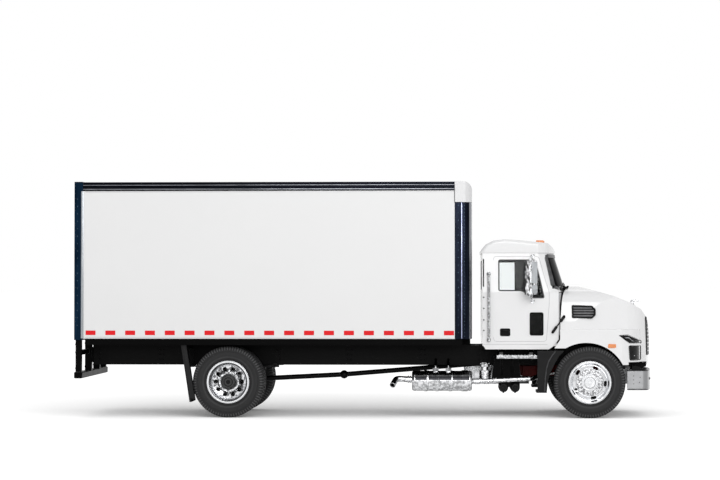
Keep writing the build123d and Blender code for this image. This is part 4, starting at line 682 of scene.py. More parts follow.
# ------------------------------------------------------------------ rear guard and mud flaps
# The under-ride guard is a moulded black bar on four hangers. Flat vinyl flaps hang behind the
# rear tyres from steel brackets, each stiffened by a strap down its outer edge.
# Its lighter edge colour is a painted highlight.
guard_black = moulding("guard_black", 0.0018, 0.36, 0.03, edge=(0.12, 0.12, 0.125), soft=0.3)
paint(guard_black, "rear_guard")
flap_rubber = moulding("flap_rubber", 0.012, 0.5, 0.15, patch=6.0, grain=0.5, relief=0.01)
paint(flap_rubber, "mud_flaps")
guard_bm = bmesh.new()
for side in (1, -1):
    for z in (21.4, 28.3, 31.8):
        pin(guard_bm, (-125.85, -126.2), side * 34.1, z, 0.4, sides=6)
        pin(guard_bm, (-125.45, -125.8), side * 11.4, z, 0.4, sides=6)
piece("guard_bolts", guard_bm, guard_black)
flap_bm = bmesh.new()
for side in (1, -1):
    for x, z in ((-77.3, 30.2), (-76.2, 24.0), (-75.0, 17.0), (-74.0, 11.0)):
        pin(flap_bm, x, (side * 35.95, side * 36.15), z, 0.35, sides=10, far=0.28)
piece("flap_rivets", flap_bm, flap_rubber)

# ------------------------------------------------------------------ load box
# White moulded panels held by plated dark-blue posts and rails, with a rounded white nose cap,
# lighter strips along the metalwork that paint its highlight lines, rivets, and red reflective marks
# stuck along each side.
paint(finish("panel_white", (0.80, 0.80, 0.80), 0.38, mottle=0.006, patch=30, grain=0.8, relief=0.002),
      "box_left_wall", "box_right_wall", "box_front_wall", "box_roof")
cap_white = finish("cap_white", (0.70, 0.70, 0.705), 0.30, mottle=0.008, patch=12, grain=0.6, relief=0.002,
                   fixed={"Coat Weight": 0.3, "Coat Roughness": 0.1})
paint(cap_white, "box_nose_cap")
paint(moulding("floor_black", 0.0016, 0.42, 0.03, patch=6.0, grain=0.5, relief=0.01), "box_floor")


def post_corner_reflection(x, y, z):
    """1 on the front posts' rounded corner, painted light as the reflection of the bright surroundings."""
    return x.ramp(46.0, 46.2)


def metalwork(name, colour, rough, mottle, patch, stretch, relief=0.01, **more):
    """Plating on the box's metalwork, its tone patches drawn out along the piece as painted reflections."""
    return finish(name, colour, rough, 1.0, mottle=mottle, patch=patch, stretch=stretch, grain=0.5,
                  relief=relief, **more)


# Stretched tone patches on the posts and rails paint streaked reflections. The rear posts' darker edge colour
# paints shade along their rounded edges, and the front posts' light corner zone paints a reflection.
paint(metalwork("rear_post_blue", (0.007, 0.022, 0.046), 0.16, 0.3, 1.6, (1, 1, 0.12), 0.012,
                edge=(0.004, 0.008, 0.016), soft=0.5), "box_rear_frame")
paint(metalwork("front_post_blue", (0.010, 0.013, 0.022), 0.16, 0.3, 1.4, (1, 1, 0.12), 0.012,
                zones=[(post_corner_reflection, (0.30, 0.31, 0.33), 0.2, 1.0)]), "box_front_posts")
paint(metalwork("rail_blue", (0.006, 0.007, 0.010), 0.18, 0.25, 1.6, (0.12, 1, 1)), "box_top_rails")


def strips(name, material, slot, *rows):
    """Thin bars on both sides of the box; each row is x, distance from the middle, z and eased edge."""
    bm = bmesh.new()
    for side in (1, -1):
        for x, (near, far), z, ease in rows:
            bar(bm, x, (side * near, side * far), z, ease)
    piece(name, bm, material)


box_side = 38.2                         # the box's outer face, from the middle of the truck
# These lighter strips paint the highlight lines on the top rails and the front posts.
strips("rail_highlight_strips", metalwork("rail_highlight_metal", (0.30, 0.31, 0.34), 0.24, 0.3, 2.0, (0.2, 1, 1)), "chrome",
       ((-122.2, 39.7), (box_side, 38.42), (101.13, 101.43), 0.08),
       ((-122.2, 39.7), (38.3, 38.58), (99.3, 99.72), 0.12))
strips("post_highlight_strips", metalwork("post_highlight_metal", (0.55, 0.60, 0.85), 0.18, 0.28, 3.0, (1, 1, 0.3)), "chrome",
       ((42.55, 42.95), (box_side, 38.42), (34.6, 93.5), 0.1))

rivet_bm = bmesh.new()
for side in (1, -1):
    for step in range(36):
        z = 35.6 + step * 1.62
        pin(rivet_bm, 43.95, (side * box_side, side * 38.46), z, 0.2, sides=8, far=0.12)
        if step % 2:
            pin(rivet_bm, 41.3, (side * box_side, side * 38.46), z, 0.2, sides=8, far=0.12)
            pin(rivet_bm, -124.6, (side * 38.3, side * 38.56), z + 3, 0.2, sides=8, far=0.12)
rivet_metal = finish("rivet_metal", (0.16, 0.24, 0.30), 0.25, 1.0, mottle=0.3, patch=1.0)
piece("post_rivets", rivet_bm, rivet_metal)

strip_metal = finish("strip_metal", (0.36, 0.38, 0.40), 0.3, 1.0, mottle=0.15, patch=3.0, stretch=(1, 1, 0.2))
strips("panel_edges", strip_metal, "chrome", ((-123.05, -121.95), (38.1, 38.5), (34.5, 98.7), 0.08))
strips("panel_mouldings", cap_white, "box_white",
       ((-121.3, 39.6), (38.1, 38.32), (34.45, 35.25), 0.1),
       ((-121.3, 39.6), (38.1, 38.24), (98.1, 98.7), 0.05))
strips("cap_seams", moulding("seam_rubber", 0.02, 0.5, 0.1, 0.2, patch=2.0), "black_rubber",
       ((39.58, 39.84), (38.1, 38.4), (93.8, 98.8), 0.05),
       ((39.7, 43.2), (38.1, 38.4), (93.55, 93.75), 0.04))

mark_bm = bmesh.new()
for side in (1, -1):
    for step in range(19):
        x = -121.0 + step * 8.67
        bar(mark_bm, (x, x + 4.35), (side * 38.15, side * 38.27), (36.0, 37.95), 0.12, along=1)
mark_red = finish("mark_red", (0.82, 0.018, 0.024), 0.35, mottle=0.06, patch=3.0, grain=0.4, relief=0.004,
                  fixed={"Specular IOR Level": 0.12})
piece("reflective_marks", mark_bm, mark_red)

# ------------------------------------------------------------------ rear doors and lamps
# Two white doors swing on pins in the rear frame, with plated lock rods, keepers and hinge
# leaves on their outer faces and a black rubber seal round each. The lamps are clear red.
def lock_gear(x, y, z):
    """1 on the lock rods, keepers and handles, which stand off the doors."""
    return x < -125.42


paint(finish("door_white", (0.80, 0.80, 0.80), 0.34, mottle=0.008, patch=20, grain=0.8, relief=0.002,
             zones=[(lock_gear, (0.55, 0.56, 0.58), 0.22, 1.0)]), "rear_left_door", "rear_right_door")
hinge_plating = plating("hinge_plating", 0.5, rough=0.24)
seal_rubber = moulding("seal_rubber", 0.006, 0.6, 0.1, grain=0.3, relief=0.008)
for name, side in both_sides:
    hinge_bm = bmesh.new()
    for z in (41.0, 55.5, 70.0, 84.5, 94.5):
        bar(hinge_bm, (-125.8, -125.35), (side * 27.6, side * 31.5), (z, z + 1.7), 0.15)
        for y in (28.5, 30.5):
            pin(hinge_bm, (-125.8, -126.0), side * y, z + 0.85, 0.28, sides=6)
    for y in (10.0, 22.0):
        for z in (38.2, 96.4):
            pin(hinge_bm, -125.75, side * y, (z - 0.5, z + 0.5), 0.42, sides=12)
    piece(f"rear_{name}_hinges", hinge_bm, hinge_plating, f"rear_{name}_door")
    seal_bm = bmesh.new()
    for y, z in (((0.25, 1.05), (36.9, 97.7)), ((0.25, 31.4), (36.85, 37.6)), ((0.25, 31.4), (97.0, 97.75))):
        bar(seal_bm, (-125.6, -125.3), tuple(side * edge for edge in y), z, 0.1)
    piece(f"rear_{name}_seal", seal_bm, seal_rubber, f"rear_{name}_door")

paint(finish("lens_red", (0.42, 0.010, 0.010), 0.14, mottle=0.2, patch=0.6, grain=0.35, relief=0.03,
             fixed={"Coat Weight": 0.6}), "tail_lamps")
lamp_z = 35.7
bezel_bm = bmesh.new()
for side in (1, -1):
    for y in (24.0, 29.0):
        verts = [bezel_bm.verts.new((-x, side * y + radius, lamp_z)) for radius, x in
                 ((1.15, 125.9), (1.2, 126.3), (1.4, 126.35), (1.55, 126.2), (1.6, 125.9))]
        edges = [bezel_bm.edges.new(pair) for pair in zip(verts, verts[1:] + verts[:1])]
        bmesh.ops.spin(bezel_bm, geom=verts + edges, cent=(0, side * y, lamp_z), axis=(1, 0, 0),
                       angle=2 * pi, steps=32, use_merge=True)
bmesh.ops.remove_doubles(bezel_bm, verts=bezel_bm.verts, dist=weld_gap)
bmesh.ops.recalc_face_normals(bezel_bm, faces=bezel_bm.faces)
piece("tail_lamp_bezels", bezel_bm, hinge_plating)

# ------------------------------------------------------------------ cab
# A white die-cast shell with its doors moulded in and a separate roof, glossy enamel all over.
# Rubber gaskets, a recessed door handle and body plugs are fitted from outside.
def enamel(name):
    """Glossy white enamel over die-cast metal."""
    return finish(name, (0.80, 0.80, 0.805), 0.24, mottle=0.008, patch=25, grain=0.7, relief=0.002,
                  fixed={"Coat Weight": 0.5, "Coat Roughness": 0.06})


paint(enamel("cab_white"), "cab_shell", "cab_roof")
belt_z, cab_half = 54.7, 32.5


def cab_side(z):
    """Half the cab's width at a height: upright to the belt, then leaning in."""
    return cab_half - max(0.0, z - belt_z) * 1.3 / 17.0


def sheet(bm, points, corner=0.0, rim=0.0, steps=4):
    """A flat sheet within an outline, its corners rounded; rim keeps only that width of it."""
    already = set(bm.faces)
    verts = [bm.verts.new(point) for point in points]
    bm.faces.new(verts)
    if corner:
        bmesh.ops.bevel(bm, geom=verts, offset=corner, segments=steps, profile=0.5, affect="VERTICES",
                        material=-1)
    made = [face for face in bm.faces if face not in already]
    if rim:
        ring = bmesh.ops.inset_region(bm, faces=made, thickness=rim, depth=0, use_even_offset=True,
                                      use_boundary=True)["faces"]
        bmesh.ops.delete(bm, geom=made, context="FACES")
        made = ring
    return made


def oblong(x, z):
    """The outline of a rectangle, from (low, high) in x and in z."""
    return [(x[0], z[0]), (x[1], z[0]), (x[1], z[1]), (x[0], z[1])]


def face_outward(bm):
    """Turn every face outward, by the shape as it now is."""
    bm.normal_update()
    bmesh.ops.recalc_face_normals(bm, faces=bm.faces)


def thicken(bm, faces, offset):
    """Carry a sheet along an offset, so that it becomes a closed solid."""
    made = bmesh.ops.extrude_face_region(bm, geom=faces)["geom"]
    bmesh.ops.translate(bm, vec=offset, verts=[part for part in made if isinstance(part, bmesh.types.BMVert)])
    face_outward(bm)


def side_trim(bm, side, outline, lift, depth, corner=0.0, rim=0.0, half_width=cab_side):
    """A sheet on the truck's side, following its lean, from lift above it down by depth."""
    kept = set(bm.verts)
    faces = sheet(bm, [(x, 0, z) for x, z in outline], corner, rim)
    thicken(bm, faces, (0, -depth, 0))
    for vert in bm.verts:
        if vert not in kept:
            vert.co.y = side * (half_width(vert.co.z) + lift + vert.co.y)
    face_outward(bm)


gasket_rubber = moulding("gasket_rubber", 0.07, 0.42, 0.15, 0.2, patch=2.0, grain=0.3, relief=0.006)
gasket_bm = bmesh.new()
window_line = [(58.7, 55.1), (69.0, 55.1), (73.3, 52.0), (78.9, 52.0), (77.1, 60.0), (74.95, 68.9),
               (58.7, 68.9)]
for side in (1, -1):
    side_trim(gasket_bm, side, window_line, 0.18, 0.5, corner=0.9, rim=0.55)
piece("window_gaskets", gasket_bm, gasket_rubber)

# Its lighter edge colour is a painted highlight.
trim_black = moulding("trim_black", 0.004, 0.30, 0.06, patch=1.5, grain=0.3, edge=(0.07, 0.07, 0.075))
trim_bm = bmesh.new()
for side in (1, -1):
    side_trim(trim_bm, side, oblong((59.4, 63.9), (35.5, 38.9)), 0.1, 0.3, corner=0.7)
    bar(trim_bm, (59.9, 63.3), (side * 32.4, side * 33.0), (37.2, 38.2), 0.2)
    side_trim(trim_bm, side, oblong((52.05, 52.55), (57.0, 69.2)), 0.1, 0.4, corner=0.15)
    for z in (52.4, 47.6, 42.6, 38.0):
        pin(trim_bm, 52.4, (side * 32.4, side * 32.7), z, 0.35, sides=10, far=0.28)
piece("cab_trim", trim_bm, trim_black)

peep_bm = bmesh.new()
side_trim(peep_bm, -1, oblong((72.3, 78.3), (35.8, 45.9)), 0.2, 0.5, corner=0.8, rim=0.75)
side_trim(peep_bm, -1, oblong((72.5, 78.1), (36.0, 45.7)), -1.3, 0.2)
piece("peep_gasket", peep_bm, trim_black)

pane_lift, pane_depth = -1.05, 0.15     # how far inside the cab's side, and how thick
tint_bm = bmesh.new()
for side, edge_x in ((1, 68.2), (-1, 65.8)):
    side_trim(tint_bm, side, [(edge_x, 55.5), (69.2, 55.5), (70.6, 54.5), (70.6, 68.5), (edge_x, 68.5)],
              pane_lift, pane_depth)
tint_grey = moulding("tint_grey", 0.03, 0.25, 0.1, patch=4.0)
piece("sliding_panes", tint_bm, tint_grey)
vent_bm = bmesh.new()
quarter_line = [(70.6, 54.4), (73.4, 52.4), (78.4, 52.4), (76.7, 60.0), (74.6, 68.5), (70.6, 68.5)]
for side in (1, -1):
    side_trim(vent_bm, side, quarter_line, pane_lift, pane_depth)
vent_dark = moulding("vent_dark", 0.004, 0.2, 0.06, patch=4.0)
piece("vent_panes", vent_bm, vent_dark)

seam_bm = bmesh.new()
door_line = [(56.6, 33.2), (79.6, 33.2), (80.9, 50.0), (80.9, 54.6), (78.6, 62.0), (76.4, 70.3), (56.6, 70.3)]
for side in (1, -1):
    side_trim(seam_bm, side, door_line, 0.02, 0.06, corner=1.2, rim=0.14)
    bar(seam_bm, (52.2, 80.0), (side * 32.4, side * 32.53), (31.9, 32.02))
seam_grey = finish("seam_grey", (0.42, 0.42, 0.43), 0.5, mottle=0.1, patch=3.0)
piece("door_seams", seam_bm, seam_grey)
# The hood seal is a grey bar; the two grey sheets beside it close the gap behind the hood, their grey a
# painted shade of the white surfaces seen through it.
seam_bm = bmesh.new()
for side in (1, -1):
    bar(seam_bm, (84.85, 85.3), (side * 31.4, side * 32.4), (36.0, 54.0))
    for y, outline in ((28.2, [(84.9, 47.5), (85.3, 47.5), (86.3, 54.4), (84.9, 54.4)]),
                       (31.0, [(84.6, 36.4), (85.3, 36.4), (83.7, 31.6), (82.9, 31.6)])):
        faces = sheet(seam_bm, [(x, side * y, z) for x, z in outline])
        thicken(seam_bm, faces, (0, side * 0.7, 0))
piece("hood_seal_and_gap_shade", seam_bm, seam_grey)

# ------------------------------------------------------------------ windows and windscreen
# Clear moulded panes pressed into the shell; the windscreen is an opaque dark pane whose dark tone
# is painted shade of the cab behind it and whose tone patches are painted reflections. It wraps the
# corners, held by a grey rubber seal. Two black wipers park along its foot, above the cowl panel.
paint(finish("clear_pane", (0.93, 0.95, 0.95), 0.02, mottle=0.01, spread=0.01, relief=0.0005,
             fixed={"Transmission Weight": 1.0, "IOR": 1.12}), "cab_windows")
# The windscreen's dark tone paints the shaded cab behind it, and its tone patches paint reflections.
paint(moulding("painted_dark_screen", 0.010, 0.12, 0.001, 0.3, patch=5.0, spread=0.03, relief=0.001), "windshield")


def skin(*nodes):
    """The surfaces of CAD nodes, to lay a trim on."""
    graph = bpy.context.evaluated_depsgraph_get()
    return [BVHTree.FromObject(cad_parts[node], graph) for node in nodes]


def lay(bm, verts, skins, direction, lift):
    """Move vertices along a direction to just above the first skin met; drop those that meet none."""
    way = Vector(direction)
    astray = []
    for vert in verts:
        start = vert.co / 1000 - way * 0.1
        hits = [tree.ray_cast(start, way) for tree in skins]
        hits = [hit for hit in hits if hit[0] is not None]
        if hits:
            nearest = min(hits, key=lambda hit: hit[3])
            vert.co = nearest[0] * 1000 - way * lift
        else:
            astray.append(vert)
    bmesh.ops.delete(bm, geom=astray, context="VERTS")


def front_ring(bm, outline, corner, rim, cuts, skins, lift, steps=4):
    """A ring laid on the truck from ahead of it, cut fine enough to follow its curve, and thickened."""
    sheet(bm, outline, corner, rim, steps)
    for cut in range(cuts):
        long_edges = [edge for edge in bm.edges if edge.calc_length() > 1.6]
        bmesh.ops.subdivide_edges(bm, edges=long_edges, cuts=1, use_grid_fill=True)
    lay(bm, bm.verts[:], skins, (-1, 0, 0), lift)
    thicken(bm, list(bm.faces), (-0.6, 0, 0))


screen = skin("cab_shell", "windshield")
ahead = 100                             # a plane before the windscreen, to lay its trims from
seal_bm = bmesh.new()
front_ring(seal_bm, [(ahead, -32.0, 55.8), (ahead, 32.0, 55.8), (ahead, 29.9, 71.3), (ahead, -29.9, 71.3)],
           2.2, 1.5, 3, screen, 0.3, steps=6)
seal_grey = moulding("seal_grey", 0.11, 0.35, 0.15, 0.3, patch=2.5, grain=0.3, relief=0.004)
piece("windscreen_seal", seal_bm, seal_grey)

cowl_black = moulding("cowl_black", 0.004, 0.42, 0.08, grain=0.4, relief=0.01)
paint(cowl_black, "cowl_panel")
wiper_bm = bmesh.new()
for pivot_y, tip_y in ((-24.5, -3.5), (-2.0, 19.0)):
    sweep = tip_y - pivot_y
    arm = [Vector((ahead, pivot_y + sweep * step / 6, 56.9 + 1.2 * step / 6)) for step in range(7)]
    blade = [Vector((ahead, pivot_y + 4.0 + sweep * 0.95 * step / 6, 57.2 + 1.5 * step / 6))
             for step in range(7)]
    for line, lift, radius in ((arm, 0.5, 0.25), (blade, 0.35, 0.25)):
        guide = bmesh.new()
        verts = [guide.verts.new(point) for point in line]
        lay(guide, verts, screen, (-1, 0, 0), lift)
        places = [vert.co.copy() for vert in guide.verts]
        guide.free()
        for start, end in zip(places, places[1:]):
            rod(wiper_bm, start, end, radius, sides=8)
        if line is arm:
            pivot = places[0]
    pin(wiper_bm, pivot.x + 1.3, pivot.y, (56.0, 57.5), 0.6, sides=16, far=0.45)
for y in (-27.0, -21.0, 21.0, 27.0):
    bar(wiper_bm, (87.6, 89.4), (y - 1.2, y + 1.2), (56.2, 57.2), 0.3)
piece("wipers", wiper_bm, cowl_black)

# ------------------------------------------------------------------ cab interior
# Dark grey moulded floor, seats, dash and tunnel in one tub, with a black steering wheel
# pressed onto its column.
# Its lighter edge colour is a painted highlight.
paint(finish("interior_grey", (0.045, 0.045, 0.048), 0.62, mottle=0.15, patch=3.0, grain=0.35,
             relief=0.02, edge=(0.09, 0.09, 0.095)), "cab_interior")
wheel_black = moulding("wheel_black", 0.006, 0.4, 0.12, grain=0.3, relief=0.006)
paint(wheel_black, "steering_wheel")
dash_bm = bmesh.new()
for y, radius in ((9.0, 0.8), (12.0, 0.8), (15.5, 1.1), (19.0, 0.8), (22.0, 0.8)):
    pin(dash_bm, (75.7, 75.95), y, 49.2, radius, sides=24)
for step in range(5):
    bar(dash_bm, (75.75, 75.95), (-9.0 + step * 2.2, -7.4 + step * 2.2), (47.2, 48.4), 0.1)
for side in (1, -1):
    for step in range(4):
        y = side * (10.2 + step * 3.5)
        bar(dash_bm, (57.0, 68.6), (y - 0.9, y + 0.9), (40.9, 41.4), 0.3)
piece("dash_and_seat_pads", dash_bm, wheel_black)

# ------------------------------------------------------------------ mirrors, handles, roof lamps
# Tall plated mirrors on plated arms, each with a flat glass over a small round-cornered one.
# Plated grab handles are knurled between two rings; five amber lamps stand on the roof.
# The strong dark and bright tone patches of these platings paint reflections on the mirror heads and grab
# handles.
mirror_plating = plating("mirror_plating", 0.9, rough=0.12, mottle=0.47, patch=1.7, abrupt=0.07,
                         stretch=(1.4, 1, 0.6))
paint(mirror_plating, "mirrors")
handle_plating = plating("handle_plating", 0.62, rough=0.2, mottle=0.4, patch=0.8)
paint(handle_plating, "grab_handles")

mirror_x, mirror_y = 72.6, 38.0
glass_bm = bmesh.new()
for side in (1, -1):
    turn = Matrix.Rotation(side * radians(-59.8), 4, "Z")
    for low, high in ((-6.9, -3.2), (-2.6, 6.9)):
        made = bmesh.ops.create_cube(glass_bm, size=1.0)["verts"]
        bmesh.ops.scale(glass_bm, vec=(4.8, 0.2, high - low), verts=made)
        upright = [edge for edge in {edge for vert in made for edge in vert.link_edges}
                   if abs((edge.verts[0].co - edge.verts[1].co).y) > 0.1]
        bmesh.ops.translate(glass_bm, vec=(0, side * 1.92, (low + high) / 2), verts=made)
        rounded = bmesh.ops.bevel(glass_bm, geom=upright, offset=0.7, segments=4, profile=0.5,
                                  affect="EDGES", material=-1)["verts"]
        whole = list({vert for start in rounded for face in start.link_faces for vert in face.verts})
        place = Matrix.Translation((mirror_x, side * mirror_y, 61.0)) @ turn
        bmesh.ops.transform(glass_bm, matrix=place, verts=whole)
bmesh.ops.recalc_face_normals(glass_bm, faces=glass_bm.faces)
mirror_glass = finish("mirror_glass", (0.50, 0.52, 0.54), 0.04, 1.0, mottle=0.1, patch=4.0, spread=0.02,
                      relief=0.001)
piece("mirror_glasses", glass_bm, mirror_glass)

arm_bm = bmesh.new()
for side in (1, -1):
    for z in (68.9, 66.9, 55.0, 53.0):
        pin(arm_bm, mirror_x, side * mirror_y, (z - 0.3, z + 0.3), 0.9, sides=16)
    for z, y in ((70.4, 31.85), (50.6, 32.9)):
        pin(arm_bm, 73.6, (side * (y - 0.4), side * (y + 0.25)), z, 0.9, sides=20)
piece("mirror_clamps", arm_bm, mirror_plating)

handle_x, handle_y = 54.6, 33.9
knurl_bm = bmesh.new()
for side in (1, -1):
    for step in range(26):
        z = 35.6 + step * 1.0
        pin(knurl_bm, handle_x, side * handle_y, (z, z + 0.5), 0.62, sides=16)
    for z in (33.9, 62.7):
        pin(knurl_bm, handle_x, (side * 32.45, side * 32.75), z, 0.95, sides=24)
        pin(knurl_bm, handle_x, side * handle_y, (z - 0.55, z + 0.55), 0.75, sides=20)
piece("handle_knurls", knurl_bm, handle_plating)

amber_lens = finish("amber_lens", (0.86, 0.26, 0.05), 0.2, mottle=0.12, patch=0.8, grain=0.35, relief=0.02,
                    fixed={"Coat Weight": 0.5})
paint(amber_lens, "marker_lamps")

# ------------------------------------------------------------------ splash panels
# Black moulded panels behind the front wheels, closing the arch between step and fender;
# a raised rib runs down each outer plate, its lighter grey a painted highlight along the ridge.
# Its lighter edge colour is a painted highlight.
paint(moulding("splash_black", 0.010, 0.5, 0.12, 0.3, patch=4.0, grain=0.4, relief=0.01,
               edge=(0.10, 0.10, 0.105), soft=0.25), "splash_panels")
rib_y = 34.15
rib_bm = bmesh.new()
for side in (1, -1):
    ridge = [(83.4, 29.0), (81.8, 27.0), (80.4, 24.6), (79.5, 21.6), (79.0, 17.6), (78.7, 11.6)]
    for start, end in zip(ridge, ridge[1:]):
        rod(rib_bm, (start[0], side * rib_y, start[1]), (end[0], side * rib_y, end[1]), 0.3, sides=10)
# The rib's lighter grey is a painted highlight along the ridge.
rib_highlight_grey = moulding("rib_highlight_grey", 0.07, 0.45, 0.12, 0.2, patch=2.0)
piece("splash_ribs", rib_bm, rib_highlight_grey)

# ------------------------------------------------------------------ hood and fenders
# One white die-cast hood with its fenders, which tips forward on two pins. Black liners
# inside it close the wheel arches, and rubber-ended straps latch it to the cab.
paint(enamel("hood_white"), "hood")
paint(axle_black, "hood_hinge_brackets")

liner_bm = bmesh.new()
liner_radius, liner_wall, liner_y = 17.9, 0.5, 20.6     # clear of a tyre steered to its limit
for side in (1, -1):
    verts = [liner_bm.verts.new((front_axle + liner_radius * cos(radians(25)), side * y,
                                 axle_z + liner_radius * sin(radians(25)))) for y in (liner_y, 33.2)]
    edge = liner_bm.edges.new(verts)
    bmesh.ops.spin(liner_bm, geom=[*verts, edge], cent=(front_axle, 0, axle_z), axis=(0, -1, 0),
                   angle=radians(97), steps=24, use_merge=False)
for part in bmesh.ops.extrude_face_region(liner_bm, geom=liner_bm.faces[:])["geom"]:
    if isinstance(part, bmesh.types.BMVert):
        part.co += Vector((part.co.x - front_axle, 0, part.co.z - axle_z)).normalized() * liner_wall
for side in (1, -1):
    wall_line = [(85.6, 31.2), (87.5, 31.2), (92.0, 32.4), (112.6, 23.9), (114.0, 23.9), (114.0, 34.0),
                 (108.0, 40.0), (92.0, 44.0), (85.6, 44.0)]
    faces = sheet(liner_bm, [(x, side * liner_y, z) for x, z in wall_line])
    thicken(liner_bm, faces, (0, -side * 0.5, 0))
face_outward(liner_bm)
liner_black = moulding("liner_black", 0.002, 0.6, 0.03, grain=0.4, relief=0.01)
piece("arch_liners", liner_bm, liner_black, "hood")

latch_y = 33.3
latch_bm = bmesh.new()
for side in (1, -1):
    foot, head = Vector((82.0, side * latch_y, 36.95)), Vector((87.35, side * latch_y, 44.3))
    run = (head - foot).normalized()
    for start, end, radius in ((foot + run * 0.4, foot + run * 3.1, 0.62),
                               (head - run * 2.6, head - run * 0.3, 0.66),
                               (foot + run * 2.8, head - run * 2.4, 0.3)):
        rod(latch_bm, start, end, radius, sides=16)
        for cap in (start, end):
            bmesh.ops.create_icosphere(latch_bm, subdivisions=2, radius=radius,
                                       matrix=Matrix.Translation(cap))
    rod(latch_bm, head - run * 1.4, (head - run * 1.4) - Vector((0, side * 0.9, 0)), 0.4, sides=12)
for vert in latch_bm.verts:             # the straps are pressed flatter
    outer = abs(vert.co.y) - latch_y
    if abs(outer) < 0.7:
        pressed = max(-0.35, min(0.3, outer * 0.6))
        vert.co.y -= (outer - pressed) * (1 if vert.co.y > 0 else -1)
# Its lighter edge colour is a painted highlight.
latch_rubber = moulding("latch_rubber", 0.008, 0.4, 0.15, 0.2, patch=1.5, grain=0.3, relief=0.008,
                        edge=(0.10, 0.10, 0.105))
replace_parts(piece("latch_straps", latch_bm, latch_rubber, "hood"), "hood_latches")

# ------------------------------------------------------------------ hood vents
# A black moulded frame is pressed into each flank of the hood, with four grey plastic louvres
# across it, each tilted so that its upper edge stands in.
vent_black = moulding("vent_black", 0.004, 0.42, 0.08, grain=0.3)
paint(vent_black, "hood_vents")
louvre_grey = moulding("louvre_grey", 0.19, 0.38, 0.15, 0.2, patch=1.4, grain=0.3)


def hood_side(z):
    """Half the hood's width at the vents, where its flanks lean in."""
    return cab_half - max(0.0, z - 42.0) * 2.0 / 7.5


frame_bm, louvre_bm = bmesh.new(), bmesh.new()
vent_line = [(90.6, 49.1), (99.5, 48.8), (101.0, 47.3), (101.0, 44.7), (99.5, 43.2), (90.6, 43.4)]
for side in (1, -1):
    side_trim(frame_bm, side, vent_line, 0.18, 0.6, 0.5, 0.75, hood_side)
    for z, end in ((44.35, 100.1), (45.5, 100.1), (46.65, 100.1), (47.8, 99.6)):
        y = hood_side(z)
        bar(louvre_bm, (91.3, end), (side * (y - 0.45), side * (y - 0.05)),
            (z - 0.36, z + 0.36), 0.12, turn=(side * 22, "X"))
piece("vent_frames", frame_bm, vent_black, "hood")
piece("vent_louvres", louvre_bm, louvre_grey, "hood")

# ------------------------------------------------------------------ lamps and side markers
# Smoked headlamp lenses follow the fender, each with a dark bezel, an inner facet and a thin
# bright light bar; an amber marker is let into each fender above the wheel.
paint(moulding("lens_dark", 0.014, 0.12, 0.10, 0.4, patch=1.2, spread=0.04, relief=0.002), "headlights")
lamp_skin = skin("hood", "headlights")
upper_line = [(110.6, 36.0), (114.7, 36.3), (121.4, 33.5), (121.4, 32.3), (115.3, 32.5)]
lower_line = [(115.0, 31.6), (121.2, 31.6), (121.2, 25.0), (115.4, 25.0)]
bezel_bm, facet_bm = bmesh.new(), bmesh.new()
beside = 40                             # a plane beside the fender, to lay the lamp trims from


def lamp_trim(bm, side, outline, corner, rim, lift, depth):
    """A sheet laid on the lamp and fender from the side, and thickened."""
    kept = set(bm.verts)
    faces = sheet(bm, [(x, side * beside, z) for x, z in outline], corner, rim)
    for cut in range(2 if rim else 0):
        edges = list({edge for face in faces for edge in face.edges if edge.calc_length() > 1.0})
        bmesh.ops.subdivide_edges(bm, edges=edges, cuts=1, use_grid_fill=True)
        faces = [face for face in bm.faces if not any(vert in kept for vert in face.verts)]
    new = [vert for vert in bm.verts if vert not in kept]
    lay(bm, new, lamp_skin, (0, -side, 0), lift)
    thicken(bm, [face for face in faces if face.is_valid], (0, -side * depth, 0))


for side in (1, -1):
    lamp_trim(bezel_bm, side, upper_line, 0.3, 0.35, 0.12, 0.4)
    lamp_trim(bezel_bm, side, lower_line, 0.8, 0.4, 0.12, 0.4)
    lamp_trim(facet_bm, side, [(113.2, 35.0), (115.0, 35.2), (119.0, 33.4), (117.0, 33.3)], 0.2, 0, 0.14, 0.4)
    lamp_trim(facet_bm, side, oblong((117.6, 119.6), (26.9, 27.25)), 0, 0, 0.14, 0.4)
piece("headlamp_bezels", bezel_bm, vent_black, "hood")
facet_metal = finish("facet_metal", (0.5, 0.51, 0.53), 0.2, 1.0, mottle=0.35, patch=1.0)
piece("headlamp_facets", facet_bm, facet_metal, "hood")

marker_bm = bmesh.new()
for side in (1, -1):
    bar(marker_bm, (106.1, 109.5), (side * 34.6, side * 35.15), (30.5, 32.2), 0.4, along=1, steps=4)
piece("side_markers", marker_bm, amber_lens, "hood")

# ------------------------------------------------------------------ grille and ornament
# The moulded grille is a black surround with bright cross bars over a dark mesh, snapped into
# the nose, and a small plain plated ornament stands on the hood above it.
grille_black = moulding("grille_black", 0.005, 0.35, 0.1, 0.2, patch=1.0, grain=0.3)
paint(grille_black, "grille")
paint(plating("ornament_plating", 0.8, rough=0.16, patch=0.8), "hood_ornament")
grille_skin = skin("grille", "hood")
before_nose = 140                       # a plane before the grille, to lay its trims from
surround_bm, slat_bm = bmesh.new(), bmesh.new()
surround_line = ((-18.9, 27.2), (18.9, 27.2), (20.9, 43.9), (-20.9, 43.9))
front_ring(surround_bm, [(before_nose, y, z) for y, z in surround_line], 1.2, 1.1, 4, grille_skin, 0.08)
piece("grille_surround", surround_bm, grille_black, "hood")


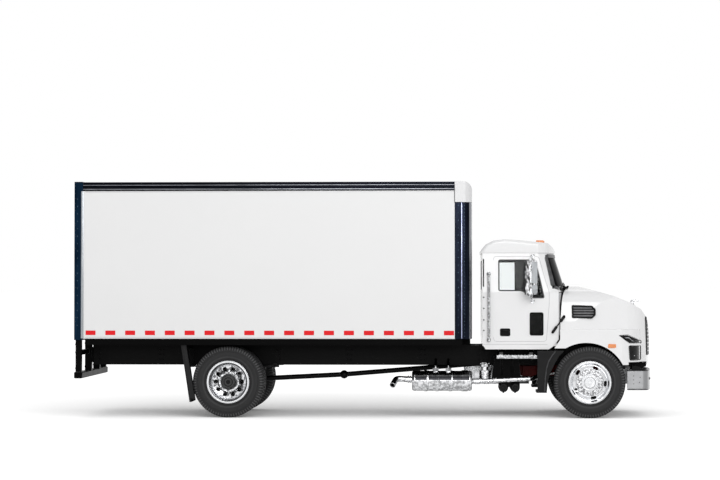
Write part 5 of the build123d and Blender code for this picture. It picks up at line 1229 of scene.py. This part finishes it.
def grille_bar(bm, start, end, height, lift):
    """A thin bar laid over the grille between two (y, z) points."""
    count = 12
    kept = set(bm.verts)
    verts = []
    for step in range(count + 1):
        y, z = (a + (b - a) * step / count for a, b in zip(start, end))
        verts.append(bm.verts.new((before_nose, y, z)))
    edges = [bm.edges.new(pair) for pair in zip(verts, verts[1:])]
    lay(bm, verts, grille_skin, (-1, 0, 0), lift)
    edges = [edge for edge in edges if edge.is_valid]
    across = (0, 0, height) if abs(end[0] - start[0]) > abs(end[1] - start[1]) else (0, height, 0)
    made = bmesh.ops.extrude_edge_only(bm, edges=edges)["geom"]
    bmesh.ops.translate(bm, vec=across, verts=[part for part in made if isinstance(part, bmesh.types.BMVert)])
    faces = [face for face in bm.faces if not any(vert in kept for vert in face.verts)]
    thicken(bm, faces, (-0.5, 0, 0))


for step in range(9):
    z = 28.7 + step * 1.72
    half = 18.2 + (z - 27) * 2 / 17
    grille_bar(slat_bm, (-half, z), (half, z), 0.45, 0.12)
for step in range(-5, 6):
    y = step * 3.0
    grille_bar(slat_bm, (y, 27.8), (y * 1.06, 43.4), 0.3, 0.04)
slat_metal = plating("slat_metal", 0.6, rough=0.2, mottle=0.44, patch=0.8)
piece("grille_slats", slat_bm, slat_metal, "hood")

# ------------------------------------------------------------------ front bumper
# A plated three-sided bumper bolted to the bearer, with a black step pad on each end and
# small bolts through its returns.
bumper_plating = plating("bumper_plating", 0.26, rough=0.3, mottle=0.05, patch=5.0, abrupt=0.2, zones=[
    (lambda x, y, z: (z > 20.5) + (z < 12.75) * 0.6, (0.02, 0.02, 0.021), 0.3, 1.0)])
paint(bumper_plating, "front_bumper")
bolt_bm = bmesh.new()
for side in (1, -1):
    for x, z in ((117.1, 15.0), (117.1, 16.7), (117.1, 18.4), (119.6, 15.6), (119.9, 17.8)):
        pin(bolt_bm, x, (side * 34.1, side * 34.35), z, 0.24, sides=8)
    for x, y in (((125.6, 126.2), 8.0), ((124.4, 125.2), 24.0)):
        pin(bolt_bm, x, side * y, 17.0, 0.5, sides=6)
    bar(bolt_bm, (114.8, 122.4), (side * 34.05, side * 34.3), (12.25, 12.9), 0.1)
bolt_grey = plating("bolt_grey", 0.10, rough=0.3, mottle=0.2)
piece("bumper_bolts", bolt_bm, bolt_grey)
pad_bm = bmesh.new()
pad_line = [(116.4, 20.9), (116.6, 22.7), (118.2, 22.7), (121.8, 21.4), (121.8, 20.9)]
pad_y, pad_width = 26.0, 7.2
for side in (1, -1):
    faces = sheet(pad_bm, [(x, side * pad_y, z) for x, z in pad_line], 0.25)
    thicken(pad_bm, faces, (0, side * pad_width, 0))
piece("bumper_pads", pad_bm, vent_black)
